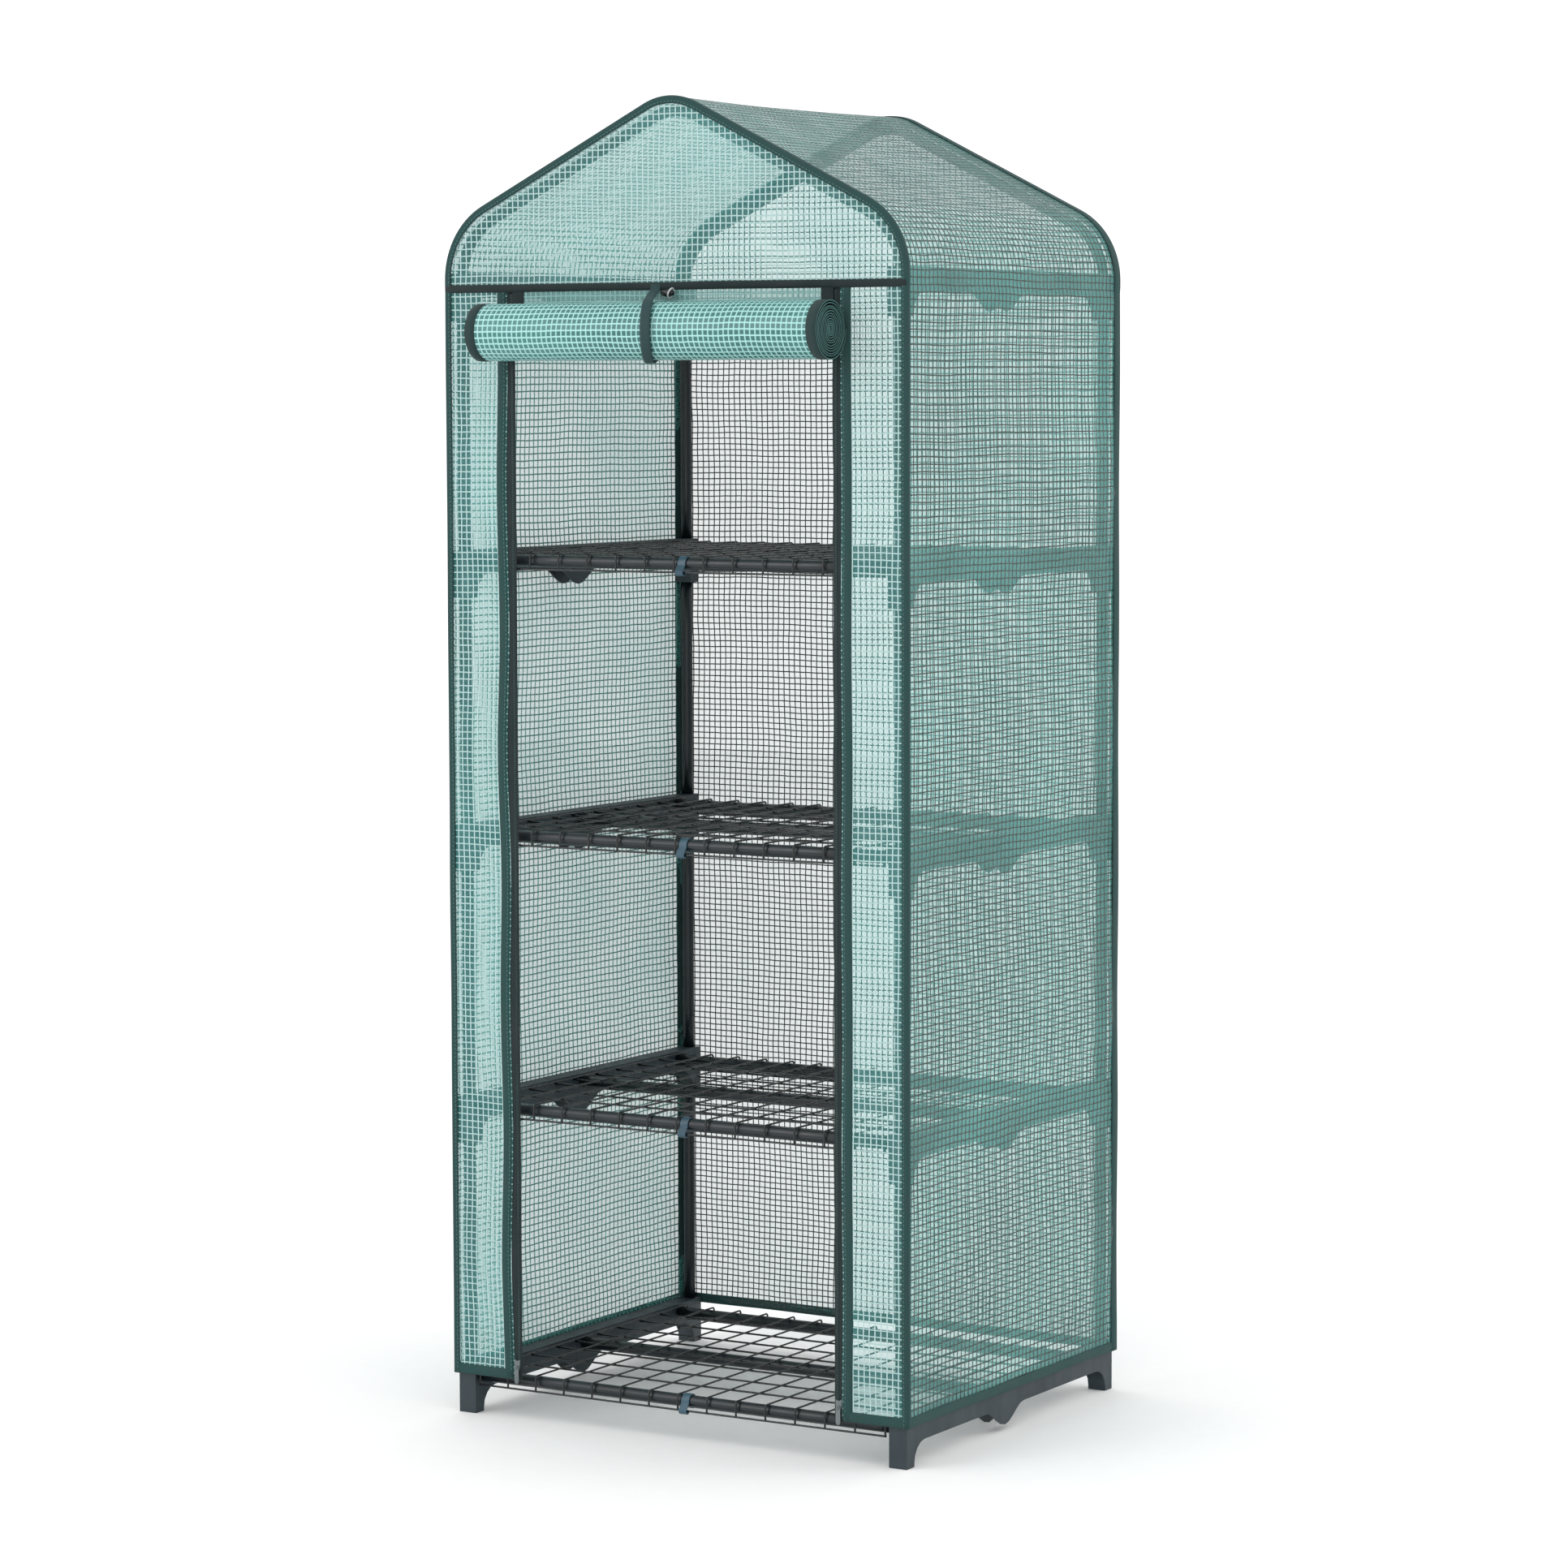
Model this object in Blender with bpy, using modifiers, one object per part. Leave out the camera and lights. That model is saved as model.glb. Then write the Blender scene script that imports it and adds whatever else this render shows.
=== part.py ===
"""A small shelf greenhouse: a plug-together tube rack under a zipped mesh cover.

Units are metres, +Z is up, +X is to the right of somebody who faces the door, and
the door is on the -Y side. The origin is on the floor, under the middle of the
whole object with its door rolled up.
"""

import math

import bmesh
import bpy
from mathutils import Matrix, Vector

# ---------------------------------------------------------------- driving dimensions
HEIGHT = 1.600
HALF_WIDTH = 0.317
HALF_DEPTH = 0.2625
TIER_PITCH = 0.3351
SHELF_COUNT = 4
LEVEL_COUNT = SHELF_COUNT + 1
GAP = 0.0003
CUTTER_SPARE = 0.001
WELD_DISTANCE = 0.00001
SHARP_ANGLE = math.radians(35)

# Side frames: moulded inverted channels with a leg at each end.
BEAM_WIDTH = 0.024
BEAM_TOP = 0.057
BEAM_BOTTOM = 0.029
WALL = 0.002
TOP_WALL = 0.0025
LEG_DEPTH = 0.018
ARCH_RADIUS = 0.025
LOBE_BOTTOM = 0.008
LOBE_HALF_LENGTH = 0.048
LOBE_STEPS = 10
SOCKET_DEPTH = 0.036

# Tubes and the spigots that they slide over.
TUBE_RADIUS = 0.0075
TUBE_BORE = 0.0070
TUBE_SIDES = 12
SPIGOT_RADIUS = 0.0063
SPIGOT_LENGTH = 0.024
SPIGOT_SIDES = 8
CROSS_TUBE_Z = 0.046
CROSS_TUBE_Y = {"front": -0.2495, "middle": -0.0205, "back": 0.2085}
BOW_RADIUS = 0.0065
BOW_WALL = 0.0006
BOW_SOCKET_RADIUS = 0.0075

# Wire shelves.
WIRE = 0.0025
WIRE_PITCH = 0.082
WIRE_COLUMNS = 8
LIP_BOTTOM = 0.035
LIP_BEND = 0.003
LIP_Y = {"front": -0.2605, "back": 0.2195}
CROSS_WIRE_Y = (-0.146, 0.004, 0.154)

# Cover: one skin over the sides and the roof, a front skin and a back skin.
COVER_HALF_WIDTH = 0.3215
COVER_HALF_DEPTH = 0.267
COVER_THICKNESS = 0.0015
HEM_Z = 0.050
ROOF_SLOPE = math.radians(26.4)
SHOULDER_RADIUS = 0.097
PEAK_RADIUS = 0.080
OPENING_HALF_WIDTH = 0.232
OPENING_TOP = 1.3745

# Door, rolled up under the band over the opening.
ROLL_RADIUS = 0.036
ROLL_HALF_LENGTH = 0.243
ROLL_Y = -0.3065
ROLL_Z = 1.326
DOOR_THICKNESS = 0.0011
DOOR_HALF_WIDTH = 0.231

# Tie strap round the rolled door.
STRAP_WIDTH = 0.013
STRAP_THICKNESS = 0.0011
STRAP_RADIUS = 0.0374
STRAP_TOP_Z = 1.381
STRAP_TOP_X = -0.019
STRAP_SLANT = 0.43
STRAP_ABOVE_OPENING = 0.0015
STRAP_INTO_OPENING = 0.004
STRAP_WRAP_START = math.radians(105)
STRAP_WRAP_END = math.radians(285)
TOGGLE_RADIUS = 0.0045
TOGGLE_STRETCH = 1.9
TOGGLE_BESIDE_STRAP = 0.006
TOGGLE_CLEARANCE = 0.008

# Zip sliders, at the foot of the opening.
SLIDER_WIDTH = 0.008
SLIDER_HEIGHT = 0.014
SLIDER_FRONT = 0.2676
SLIDER_BACK = 0.2634
SLIDER_Z = 0.068
SLIDER_WAIST = 0.6
SLIDER_NOTCH = 0.002
PIN_RADIUS = 0.0012
PIN_FRONT = 0.2698
PULL_HOLE = 0.0016
PULL_WIDTH = 0.0062
PULL_LENGTH = 0.020
PULL_THICKNESS = 0.0012
PULL_Y = -0.2686

# Snap clips, which hold a shelf's lip to the front tube.
CLIP_WIDTH = 0.011
CLIP_THICKNESS = 0.0016
CLIP_X = 0.009
CLIP_CLEARANCE = 0.0004
CLIP_HOOK_RADIUS = 0.0036
CLIP_RING_ANGLES = (math.radians(-75), math.radians(190))
CLIP_HOOK_ANGLES = (math.radians(165), math.radians(350))

# ---------------------------------------------------------------- derived dimensions
STRAP_FRONT = ROLL_Y - STRAP_RADIUS - STRAP_THICKNESS / 2
RACK_Y = -(STRAP_FRONT + COVER_HALF_DEPTH) / 2
LEG_Y = HALF_DEPTH - LEG_DEPTH / 2
BEAM_X = HALF_WIDTH - BEAM_WIDTH / 2
BEAM_INNER = HALF_WIDTH - BEAM_WIDTH
SHELF_Z = CROSS_TUBE_Z + TUBE_RADIUS + GAP + WIRE / 2
ARC_STEPS = 6

SIDES = {"left": -1, "right": 1}
ENDS = {"front": -1, "back": 1}

# Matrices that lay a flat outline, drawn in local XY, in the planes of the object.
OUTLINE_TO_YZ = Matrix(((0, 0, 1, 0), (1, 0, 0, 0), (0, 1, 0, 0), (0, 0, 0, 1)))
OUTLINE_TO_XZ = Matrix(((1, 0, 0, 0), (0, 0, -1, 0), (0, 1, 0, 0), (0, 0, 0, 1)))


# ---------------------------------------------------------------- scene and materials
def clear_scene():
    for obj in list(bpy.data.objects):
        bpy.data.objects.remove(obj)


def new_collection(name):
    collection = bpy.data.collections.new(name)
    bpy.context.scene.collection.children.link(collection)
    return collection


def finish(name, colour, roughness, metallic=0.0):
    material = bpy.data.materials.new(name)
    material.use_nodes = True
    shader = material.node_tree.nodes["Principled BSDF"]
    shader.inputs["Base Color"].default_value = (*colour, 1.0)
    shader.inputs["Roughness"].default_value = roughness
    shader.inputs["Metallic"].default_value = metallic
    material.diffuse_color = (*colour, 1.0)
    return material


clear_scene()
greenhouse = new_collection("shelf_greenhouse")
cutters = new_collection("shelf_greenhouse_cutters")
rack_origin = bpy.data.objects.new("rack_origin", None)
rack_origin.location = (0, RACK_Y, 0)
greenhouse.objects.link(rack_origin)


# ---------------------------------------------------------------- shapes as meshes
def arc(centre, radius, start, end, steps=ARC_STEPS):
    """Points on an arc, from one angle to another, both included."""
    angles = [start + (end - start) * step / steps for step in range(steps + 1)]
    return [(centre[0] + radius * math.cos(a), centre[1] + radius * math.sin(a)) for a in angles]


def mesh_of_curve(curve):
    """The welded mesh of a curve, which is removed."""
    obj = bpy.data.objects.new("outline", curve)
    greenhouse.objects.link(obj)
    bpy.context.view_layer.update()
    graph = bpy.context.evaluated_depsgraph_get()
    mesh = bpy.data.meshes.new_from_object(obj.evaluated_get(graph))
    bpy.data.objects.remove(obj)
    shape = bmesh.new()
    shape.from_mesh(mesh)
    bmesh.ops.remove_doubles(shape, verts=shape.verts, dist=WELD_DISTANCE)
    shape.to_mesh(mesh)
    shape.free()
    return mesh


def add_spline(curve, points, closed):
    spline = curve.splines.new("POLY")
    spline.points.add(len(points) - 1)
    for target, point in zip(spline.points, points):
        target.co = (*point, 0.0, 1.0) if len(point) == 2 else (*point, 1.0)
    spline.use_cyclic_u = closed


def plate_mesh(outlines, thickness, placing):
    """A flat plate from closed outlines; the second and later ones are holes."""
    curve = bpy.data.curves.new("plate", "CURVE")
    curve.dimensions = "2D"
    curve.fill_mode = "BOTH"
    curve.extrude = thickness / 2
    for outline in outlines:
        add_spline(curve, outline, closed=True)
    mesh = mesh_of_curve(curve)
    mesh.transform(placing)
    return mesh


def ribbon_mesh(path, width, placing):
    """A surface of no thickness that follows an open path; Solidify thickens it."""
    curve = bpy.data.curves.new("ribbon", "CURVE")
    curve.dimensions = "2D"
    curve.fill_mode = "NONE"
    curve.extrude = width / 2
    add_spline(curve, path, closed=False)
    mesh = mesh_of_curve(curve)
    mesh.transform(placing)
    return mesh


def rod_mesh(radius, start, end, sides):
    """A straight round rod between two points."""
    start, end = Vector(start), Vector(end)
    turn = (end - start).to_track_quat("Z", "Y").to_matrix().to_4x4()
    shape = bmesh.new()
    bmesh.ops.create_cone(
        shape,
        cap_ends=True,
        segments=sides,
        radius1=radius,
        radius2=radius,
        depth=(end - start).length,
        matrix=Matrix.Translation((start + end) / 2) @ turn,
    )
    mesh = bpy.data.meshes.new("rod")
    shape.to_mesh(mesh)
    shape.free()
    return mesh


def box_mesh(low, high):
    low, high = Vector(low), Vector(high)
    size = Matrix.Diagonal((*(high - low), 1.0))
    shape = bmesh.new()
    bmesh.ops.create_cube(shape, size=1.0, matrix=Matrix.Translation((low + high) / 2) @ size)
    mesh = bpy.data.meshes.new("box")
    shape.to_mesh(mesh)
    shape.free()
    return mesh


# ---------------------------------------------------------------- objects
def place(name, mesh, location, material, parent=rack_origin):
    obj = bpy.data.objects.new(name, mesh)
    obj.location = location
    obj.parent = parent
    if not mesh.materials:
        mesh.materials.append(material)
    greenhouse.objects.link(obj)
    return obj


def combine(obj, mesh, operation):
    """Cut a mesh from an object, or join one to it, with a Boolean."""
    tool = bpy.data.objects.new(f"{obj.name}_{operation.lower()}", mesh)
    tool.hide_render = True
    tool.display_type = "WIRE"
    tool.parent = obj
    cutters.objects.link(tool)
    modifier = obj.modifiers.new(operation.title(), "BOOLEAN")
    modifier.operation = operation
    modifier.object = tool


def thicken(obj, thickness, offset=0.0):
    modifier = obj.modifiers.new("Thickness", "SOLIDIFY")
    modifier.thickness = thickness
    modifier.offset = offset
    modifier.use_even_offset = True


def baked_mesh(obj):
    """The mesh that an object's modifiers give; the object and its tools are removed."""
    bpy.context.view_layer.update()
    graph = bpy.context.evaluated_depsgraph_get()
    mesh = bpy.data.meshes.new_from_object(obj.evaluated_get(graph))
    for tool in obj.children:
        bpy.data.objects.remove(tool)
    bpy.data.objects.remove(obj)
    return mesh


def smooth(obj):
    obj.data.shade_smooth()
    obj.data.set_sharp_from_angle(angle=SHARP_ANGLE)


# ---------------------------------------------------------------- side frames
def side_frame_outline():
    """The side view of a frame: legs, arches and the lobe that carries the middle tube."""
    inner_leg = HALF_DEPTH - LEG_DEPTH
    arch_z = BEAM_BOTTOM - ARCH_RADIUS
    arch_y = inner_leg - ARCH_RADIUS
    front_arch = arc((-arch_y, arch_z), ARCH_RADIUS, math.pi, math.pi / 2, 4)
    back_arch = arc((arch_y, arch_z), ARCH_RADIUS, math.pi / 2, 0, 4)
    lobe = []
    for step in range(LOBE_STEPS + 1):
        along = 2 * step / LOBE_STEPS - 1
        dip = (BEAM_BOTTOM - LOBE_BOTTOM) * (1 + math.cos(math.pi * along)) / 2
        lobe.append((CROSS_TUBE_Y["middle"] + LOBE_HALF_LENGTH * along, BEAM_BOTTOM - dip))
    return [
        (-HALF_DEPTH, 0),
        (-inner_leg, 0),
        *front_arch,
        *lobe,
        *back_arch,
        (inner_leg, 0),
        (HALF_DEPTH, 0),
        (HALF_DEPTH, BEAM_TOP),
        (-HALF_DEPTH, BEAM_TOP),
    ]


def side_frame_mesh(level):
    """A right-hand frame: a channel, with spigots and sockets for what it meets."""
    side_view = plate_mesh([side_frame_outline()], BEAM_WIDTH, OUTLINE_TO_YZ)
    body = place("side_frame", side_view, (0, 0, 0), frame_plastic)
    half_hollow = BEAM_WIDTH / 2 - WALL
    hollow_end = HALF_DEPTH - LEG_DEPTH - WALL
    hollow = box_mesh(
        (-half_hollow, -hollow_end, -CUTTER_SPARE),
        (half_hollow, hollow_end, BEAM_TOP - TOP_WALL),
    )
    combine(body, hollow, "DIFFERENCE")
    root = WALL / 2
    inner_face = -BEAM_WIDTH / 2
    for y in (-LEG_Y, LEG_Y):
        if level > 0:
            tip = (0, y, -SPIGOT_LENGTH)
            combine(body, rod_mesh(SPIGOT_RADIUS, (0, y, root), tip, SPIGOT_SIDES), "UNION")
        if level < SHELF_COUNT:
            start = (0, y, BEAM_TOP - root)
            tip = (0, y, BEAM_TOP + SPIGOT_LENGTH)
            combine(body, rod_mesh(SPIGOT_RADIUS, start, tip, SPIGOT_SIDES), "UNION")
        else:
            floor = (0, y, BEAM_TOP - SOCKET_DEPTH)
            mouth = (0, y, BEAM_TOP + root)
            combine(body, rod_mesh(BOW_SOCKET_RADIUS, floor, mouth, TUBE_SIDES), "DIFFERENCE")
    if level < SHELF_COUNT:
        for y in CROSS_TUBE_Y.values():
            start = (inner_face + root, y, CROSS_TUBE_Z)
            end = (inner_face - SPIGOT_LENGTH, y, CROSS_TUBE_Z)
            combine(body, rod_mesh(SPIGOT_RADIUS, start, end, SPIGOT_SIDES), "UNION")
    return baked_mesh(body)


def mirrored(mesh):
    copy = mesh.copy()
    copy.transform(Matrix.Scale(-1, 4, (1, 0, 0)))
    copy.flip_normals()
    return copy


def build_side_frames():
    variants = {0: side_frame_mesh(0), 1: side_frame_mesh(1), SHELF_COUNT: side_frame_mesh(SHELF_COUNT)}
    for level in range(LEVEL_COUNT):
        variant = level if level in variants else 1
        for side, sign in SIDES.items():
            mesh = variants[variant] if sign > 0 else mirrored(variants[variant])
            spot = (sign * BEAM_X, 0, level * TIER_PITCH)
            place(f"side_frame_{side}_{level + 1}", mesh, spot, frame_plastic)


# ---------------------------------------------------------------- tubes
def tube_mesh(length):
    """A hollow tube along +Z from the origin."""
    outside = rod_mesh(TUBE_RADIUS, (0, 0, 0), (0, 0, length), TUBE_SIDES)
    tube = place("tube", outside, (0, 0, 0), tube_steel)
    bore_top = (0, 0, length + CUTTER_SPARE)
    combine(tube, rod_mesh(TUBE_BORE, (0, 0, -CUTTER_SPARE), bore_top, TUBE_SIDES), "DIFFERENCE")
    return baked_mesh(tube)


def build_posts():
    mesh = tube_mesh(TIER_PITCH - BEAM_TOP - 2 * GAP)
    for level in range(SHELF_COUNT):
        z = level * TIER_PITCH + BEAM_TOP + GAP
        for side, sign in SIDES.items():
            for end, facing in ENDS.items():
                foot = (sign * BEAM_X, facing * LEG_Y, z)
                post = place(f"post_{end}_{side}_{level + 1}", mesh, foot, tube_steel)
                smooth(post)


def build_cross_tubes():
    mesh = tube_mesh(2 * (BEAM_INNER - GAP))
    for level in range(SHELF_COUNT):
        for row, y in CROSS_TUBE_Y.items():
            start = (-BEAM_INNER + GAP, y, level * TIER_PITCH + CROSS_TUBE_Z)
            tube = place(f"tube_{row}_{level + 1}", mesh, start, tube_steel)
            tube.rotation_euler = (0, math.pi / 2, 0)
            smooth(tube)


def gable_path(inset, foot_z):
    """Right half of the gable's outline, from its foot to the peak, as (x, z)."""
    shoulder_radius = SHOULDER_RADIUS - inset
    peak_radius = PEAK_RADIUS - inset
    peak_z = HEIGHT - PEAK_RADIUS
    shoulder_x = COVER_HALF_WIDTH - SHOULDER_RADIUS
    normal = math.pi / 2 - ROOF_SLOPE
    run = shoulder_x + (SHOULDER_RADIUS - PEAK_RADIUS) * math.cos(normal)
    rise = (SHOULDER_RADIUS - PEAK_RADIUS) * math.sin(normal) + run * math.tan(ROOF_SLOPE)
    shoulder_z = peak_z - rise
    shoulder = arc((shoulder_x, shoulder_z), shoulder_radius, 0, normal)
    peak = arc((0, peak_z), peak_radius, normal, math.pi / 2, 3)
    return [(COVER_HALF_WIDTH - inset, foot_z), *shoulder, *peak]


def full_gable_path(inset, foot_z):
    right = gable_path(inset, foot_z)
    left = [(-x, z) for x, z in reversed(right[:-1])]
    return right + left


def build_bows():
    inset = COVER_HALF_WIDTH - BEAM_X
    foot_z = SHELF_COUNT * TIER_PITCH + BEAM_TOP - SOCKET_DEPTH + GAP
    path = [(x, 0, z) for x, z in full_gable_path(inset, foot_z)]
    for end, facing in ENDS.items():
        curve = bpy.data.curves.new(f"roof_bow_{end}", "CURVE")
        curve.dimensions = "3D"
        curve.bevel_depth = BOW_RADIUS
        curve.bevel_resolution = 2
        add_spline(curve, path, closed=False)
        bow = place(f"roof_bow_{end}", mesh_of_curve(curve), (0, facing * LEG_Y, 0), tube_steel)
        thicken(bow, BOW_WALL, offset=-1)
        smooth(bow)


# ---------------------------------------------------------------- shelves and clips
def shelf_rows():
    """Rows of the bent wire grid, as (y, z) from the front lip to the back lip."""
    front, back = LIP_Y["front"], LIP_Y["back"]
    rows = [
        (front, LIP_BOTTOM),
        (front, LIP_BOTTOM + WIRE),
        (front, SHELF_Z - LIP_BEND),
        (front + LIP_BEND, SHELF_Z),
    ]
    for y in CROSS_WIRE_Y:
        rows.append((y - WIRE / 2, SHELF_Z))
        rows.append((y + WIRE / 2, SHELF_Z))
    rows += [
        (back - LIP_BEND, SHELF_Z),
        (back, SHELF_Z - LIP_BEND),
        (back, LIP_BOTTOM + WIRE),
        (back, LIP_BOTTOM),
    ]
    return rows


def shelf_mesh():
    """A grid of wires, bent down into a lip at the front and at the back."""
    rows = shelf_rows()
    last_strip = len(rows) - 2
    wire_strips = {0, last_strip} | {4 + 2 * index for index in range(len(CROSS_WIRE_Y))}
    columns = []
    for index in range(WIRE_COLUMNS):
        x = (index - (WIRE_COLUMNS - 1) / 2) * WIRE_PITCH
        columns += [x - WIRE / 2, x + WIRE / 2]
    shape = bmesh.new()
    bmesh.ops.create_grid(shape, x_segments=len(columns) - 1, y_segments=len(rows) - 1, size=1.0)
    column_count = len(columns)
    shape.verts.ensure_lookup_table()
    order = sorted(shape.verts, key=lambda vert: (round(vert.co.y, 4), round(vert.co.x, 4)))
    place_in_grid = {}
    for number, vert in enumerate(order):
        row, column = divmod(number, column_count)
        place_in_grid[vert] = (row, column)
    holes = []
    for face in shape.faces:
        strip = min(place_in_grid[vert][0] for vert in face.verts)
        column = min(place_in_grid[vert][1] for vert in face.verts)
        if strip not in wire_strips and column % 2 == 1:
            holes.append(face)
    bmesh.ops.delete(shape, geom=holes, context="FACES")
    for vert, (row, column) in place_in_grid.items():
        vert.co = (columns[column], *rows[row])
    mesh = bpy.data.meshes.new("wire_shelf")
    shape.to_mesh(mesh)
    shape.free()
    return mesh


def build_shelves():
    mesh = shelf_mesh()
    for level in range(SHELF_COUNT):
        shelf = place(f"wire_shelf_{level + 1}", mesh, (0, 0, level * TIER_PITCH), wire_black)
        thicken(shelf, WIRE)


def clip_path():
    """Side view of a clip: round the front tube, then a hook round the lip's wire."""
    tube = (CROSS_TUBE_Y["front"], CROSS_TUBE_Z)
    wire = (LIP_Y["front"], LIP_BOTTOM + WIRE / 2)
    ring_radius = TUBE_RADIUS + CLIP_CLEARANCE + CLIP_THICKNESS / 2
    ring = arc(tube, ring_radius, *CLIP_RING_ANGLES, steps=10)
    hook = arc(wire, CLIP_HOOK_RADIUS, *CLIP_HOOK_ANGLES)
    return ring + hook


def build_clips():
    mesh = ribbon_mesh(clip_path(), CLIP_WIDTH, OUTLINE_TO_YZ)
    for level in range(SHELF_COUNT):
        clip = place(f"shelf_clip_{level + 1}", mesh, (CLIP_X, 0, level * TIER_PITCH), clip_plastic)
        thicken(clip, CLIP_THICKNESS)


# ---------------------------------------------------------------- cover
def build_cover():
    skin_centre = COVER_THICKNESS / 2
    depth = 2 * (COVER_HALF_DEPTH - COVER_THICKNESS - GAP)
    profile = full_gable_path(skin_centre, HEM_Z)
    skin = ribbon_mesh(profile, depth, OUTLINE_TO_XZ)
    roof = place("cover_roof_and_sides", skin, (0, 0, 0), cover_mesh)
    thicken(roof, COVER_THICKNESS)
    smooth(roof)
    gable = full_gable_path(0, HEM_Z)
    panel_y = COVER_HALF_DEPTH - COVER_THICKNESS / 2
    opening = [
        (-OPENING_HALF_WIDTH, HEM_Z),
        (-OPENING_HALF_WIDTH, OPENING_TOP),
        (OPENING_HALF_WIDTH, OPENING_TOP),
        (OPENING_HALF_WIDTH, HEM_Z),
    ]
    back = plate_mesh([gable], COVER_THICKNESS, OUTLINE_TO_XZ)
    place("cover_back", back, (0, panel_y, 0), cover_mesh)
    front = plate_mesh([gable + opening], COVER_THICKNESS, OUTLINE_TO_XZ)
    place("cover_front", front, (0, -panel_y, 0), cover_mesh)


# ---------------------------------------------------------------- door
def build_door():
    back_y = -(COVER_HALF_DEPTH + GAP)
    sheet = box_mesh(
        (-DOOR_HALF_WIDTH, back_y - DOOR_THICKNESS, ROLL_Z),
        (DOOR_HALF_WIDTH, back_y, OPENING_TOP - GAP),
    )
    place("door_sheet", sheet, (0, 0, 0), cover_mesh)
    ends = ((-ROLL_HALF_LENGTH, 0, 0), (ROLL_HALF_LENGTH, 0, 0))
    roll = place("door_roll", rod_mesh(ROLL_RADIUS, *ends, 24), (0, ROLL_Y, ROLL_Z), cover_mesh)
    smooth(roll)


def strap_path():
    """Side view of the strap: band, over and under the roll, and up behind the door."""
    front_y = -(COVER_HALF_DEPTH + GAP + STRAP_THICKNESS / 2)
    back_y = -(COVER_HALF_DEPTH - COVER_THICKNESS - GAP - STRAP_THICKNESS / 2)
    clear_of_opening = OPENING_TOP + STRAP_ABOVE_OPENING
    over = arc((ROLL_Y, ROLL_Z), STRAP_RADIUS, STRAP_WRAP_START, math.pi, 5)
    under = arc((ROLL_Y, ROLL_Z), STRAP_RADIUS, math.pi, STRAP_WRAP_END)
    behind_z = ROLL_Z - ROLL_RADIUS + STRAP_INTO_OPENING
    return [
        (front_y, STRAP_TOP_Z),
        (front_y, clear_of_opening),
        *over,
        *under[1:],
        (back_y, behind_z),
        (back_y, OPENING_TOP - GAP),
    ]


def build_strap():
    mesh = ribbon_mesh(strap_path(), STRAP_WIDTH, OUTLINE_TO_YZ)
    top_y = -COVER_HALF_DEPTH
    slant = Matrix.Identity(4)
    slant[0][1] = -STRAP_SLANT
    mesh.transform(slant)
    strap = place("tie_strap", mesh, (STRAP_TOP_X + STRAP_SLANT * top_y, 0, 0), binding_cloth)
    thicken(strap, STRAP_THICKNESS)
    shape = bmesh.new()
    bmesh.ops.create_uvsphere(shape, u_segments=12, v_segments=8, radius=TOGGLE_RADIUS)
    bmesh.ops.scale(shape, vec=(TOGGLE_STRETCH, 1, 1), verts=shape.verts)
    toggle_mesh = bpy.data.meshes.new("strap_toggle")
    shape.to_mesh(toggle_mesh)
    shape.free()
    toggle_half_length = TOGGLE_STRETCH * TOGGLE_RADIUS
    toggle_x = STRAP_TOP_X + STRAP_WIDTH / 2 + toggle_half_length + TOGGLE_BESIDE_STRAP
    toggle_z = ROLL_Z + ROLL_RADIUS + TOGGLE_CLEARANCE
    below_band = (toggle_x, top_y - TOGGLE_CLEARANCE, toggle_z)
    toggle = place("strap_toggle", toggle_mesh, below_band, toggle_plastic)
    smooth(toggle)


# ---------------------------------------------------------------- zips
def slider_outline():
    half_width = SLIDER_WIDTH / 2
    half_height = SLIDER_HEIGHT / 2
    waist = SLIDER_WAIST * half_width
    return [
        (-half_width, half_height),
        (-half_width, 0),
        (-waist, -half_height),
        (waist, -half_height),
        (half_width, 0),
        (half_width, half_height),
        (0, half_height - SLIDER_NOTCH),
    ]


def pull_outline():
    half = PULL_WIDTH / 2
    top = arc((0, 0), half, 0, math.pi, 4)
    foot = arc((0, half - PULL_LENGTH), half, math.pi, 2 * math.pi, 4)
    return top + foot


def build_zips():
    depth = SLIDER_FRONT - SLIDER_BACK
    body_y = -(SLIDER_FRONT + SLIDER_BACK) / 2
    pin_z = -SLIDER_HEIGHT / 4
    wedge = plate_mesh([slider_outline()], depth, OUTLINE_TO_XZ)
    slider = place("slider", wedge, (0, 0, 0), zip_metal)
    pin_root = (0, -depth / 4, pin_z)
    pin_tip = (0, -(body_y + PIN_FRONT), pin_z)
    combine(slider, rod_mesh(PIN_RADIUS, pin_root, pin_tip, SPIGOT_SIDES), "UNION")
    slider_mesh = baked_mesh(slider)
    hole = arc((0, 0), PULL_HOLE, 0, math.tau, SPIGOT_SIDES)[:-1]
    pull_mesh = plate_mesh([pull_outline(), hole], PULL_THICKNESS, OUTLINE_TO_XZ)
    for side, sign in SIDES.items():
        x = sign * (OPENING_HALF_WIDTH - GAP - SLIDER_WIDTH / 2)
        place(f"zip_slider_{side}", slider_mesh, (x, body_y, SLIDER_Z), zip_metal)
        place(f"zip_pull_{side}", pull_mesh, (x, PULL_Y, SLIDER_Z + pin_z), zip_metal)


# ---------------------------------------------------------------- build
frame_plastic = finish("frame_plastic", (0.022, 0.035, 0.045), 0.5)
tube_steel = finish("tube_steel", (0.014, 0.02, 0.022), 0.35, 0.2)
wire_black = finish("wire_black", (0.01, 0.012, 0.013), 0.35, 0.2)
cover_mesh = finish("cover_mesh", (0.42, 0.68, 0.63), 0.45)
binding_cloth = finish("binding_cloth", (0.02, 0.09, 0.085), 0.85)
clip_plastic = finish("clip_plastic", (0.03, 0.13, 0.22), 0.4)
zip_metal = finish("zip_metal", (0.35, 0.38, 0.4), 0.35, 0.8)
toggle_plastic = finish("toggle_plastic", (0.01, 0.012, 0.014), 0.4)

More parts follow.
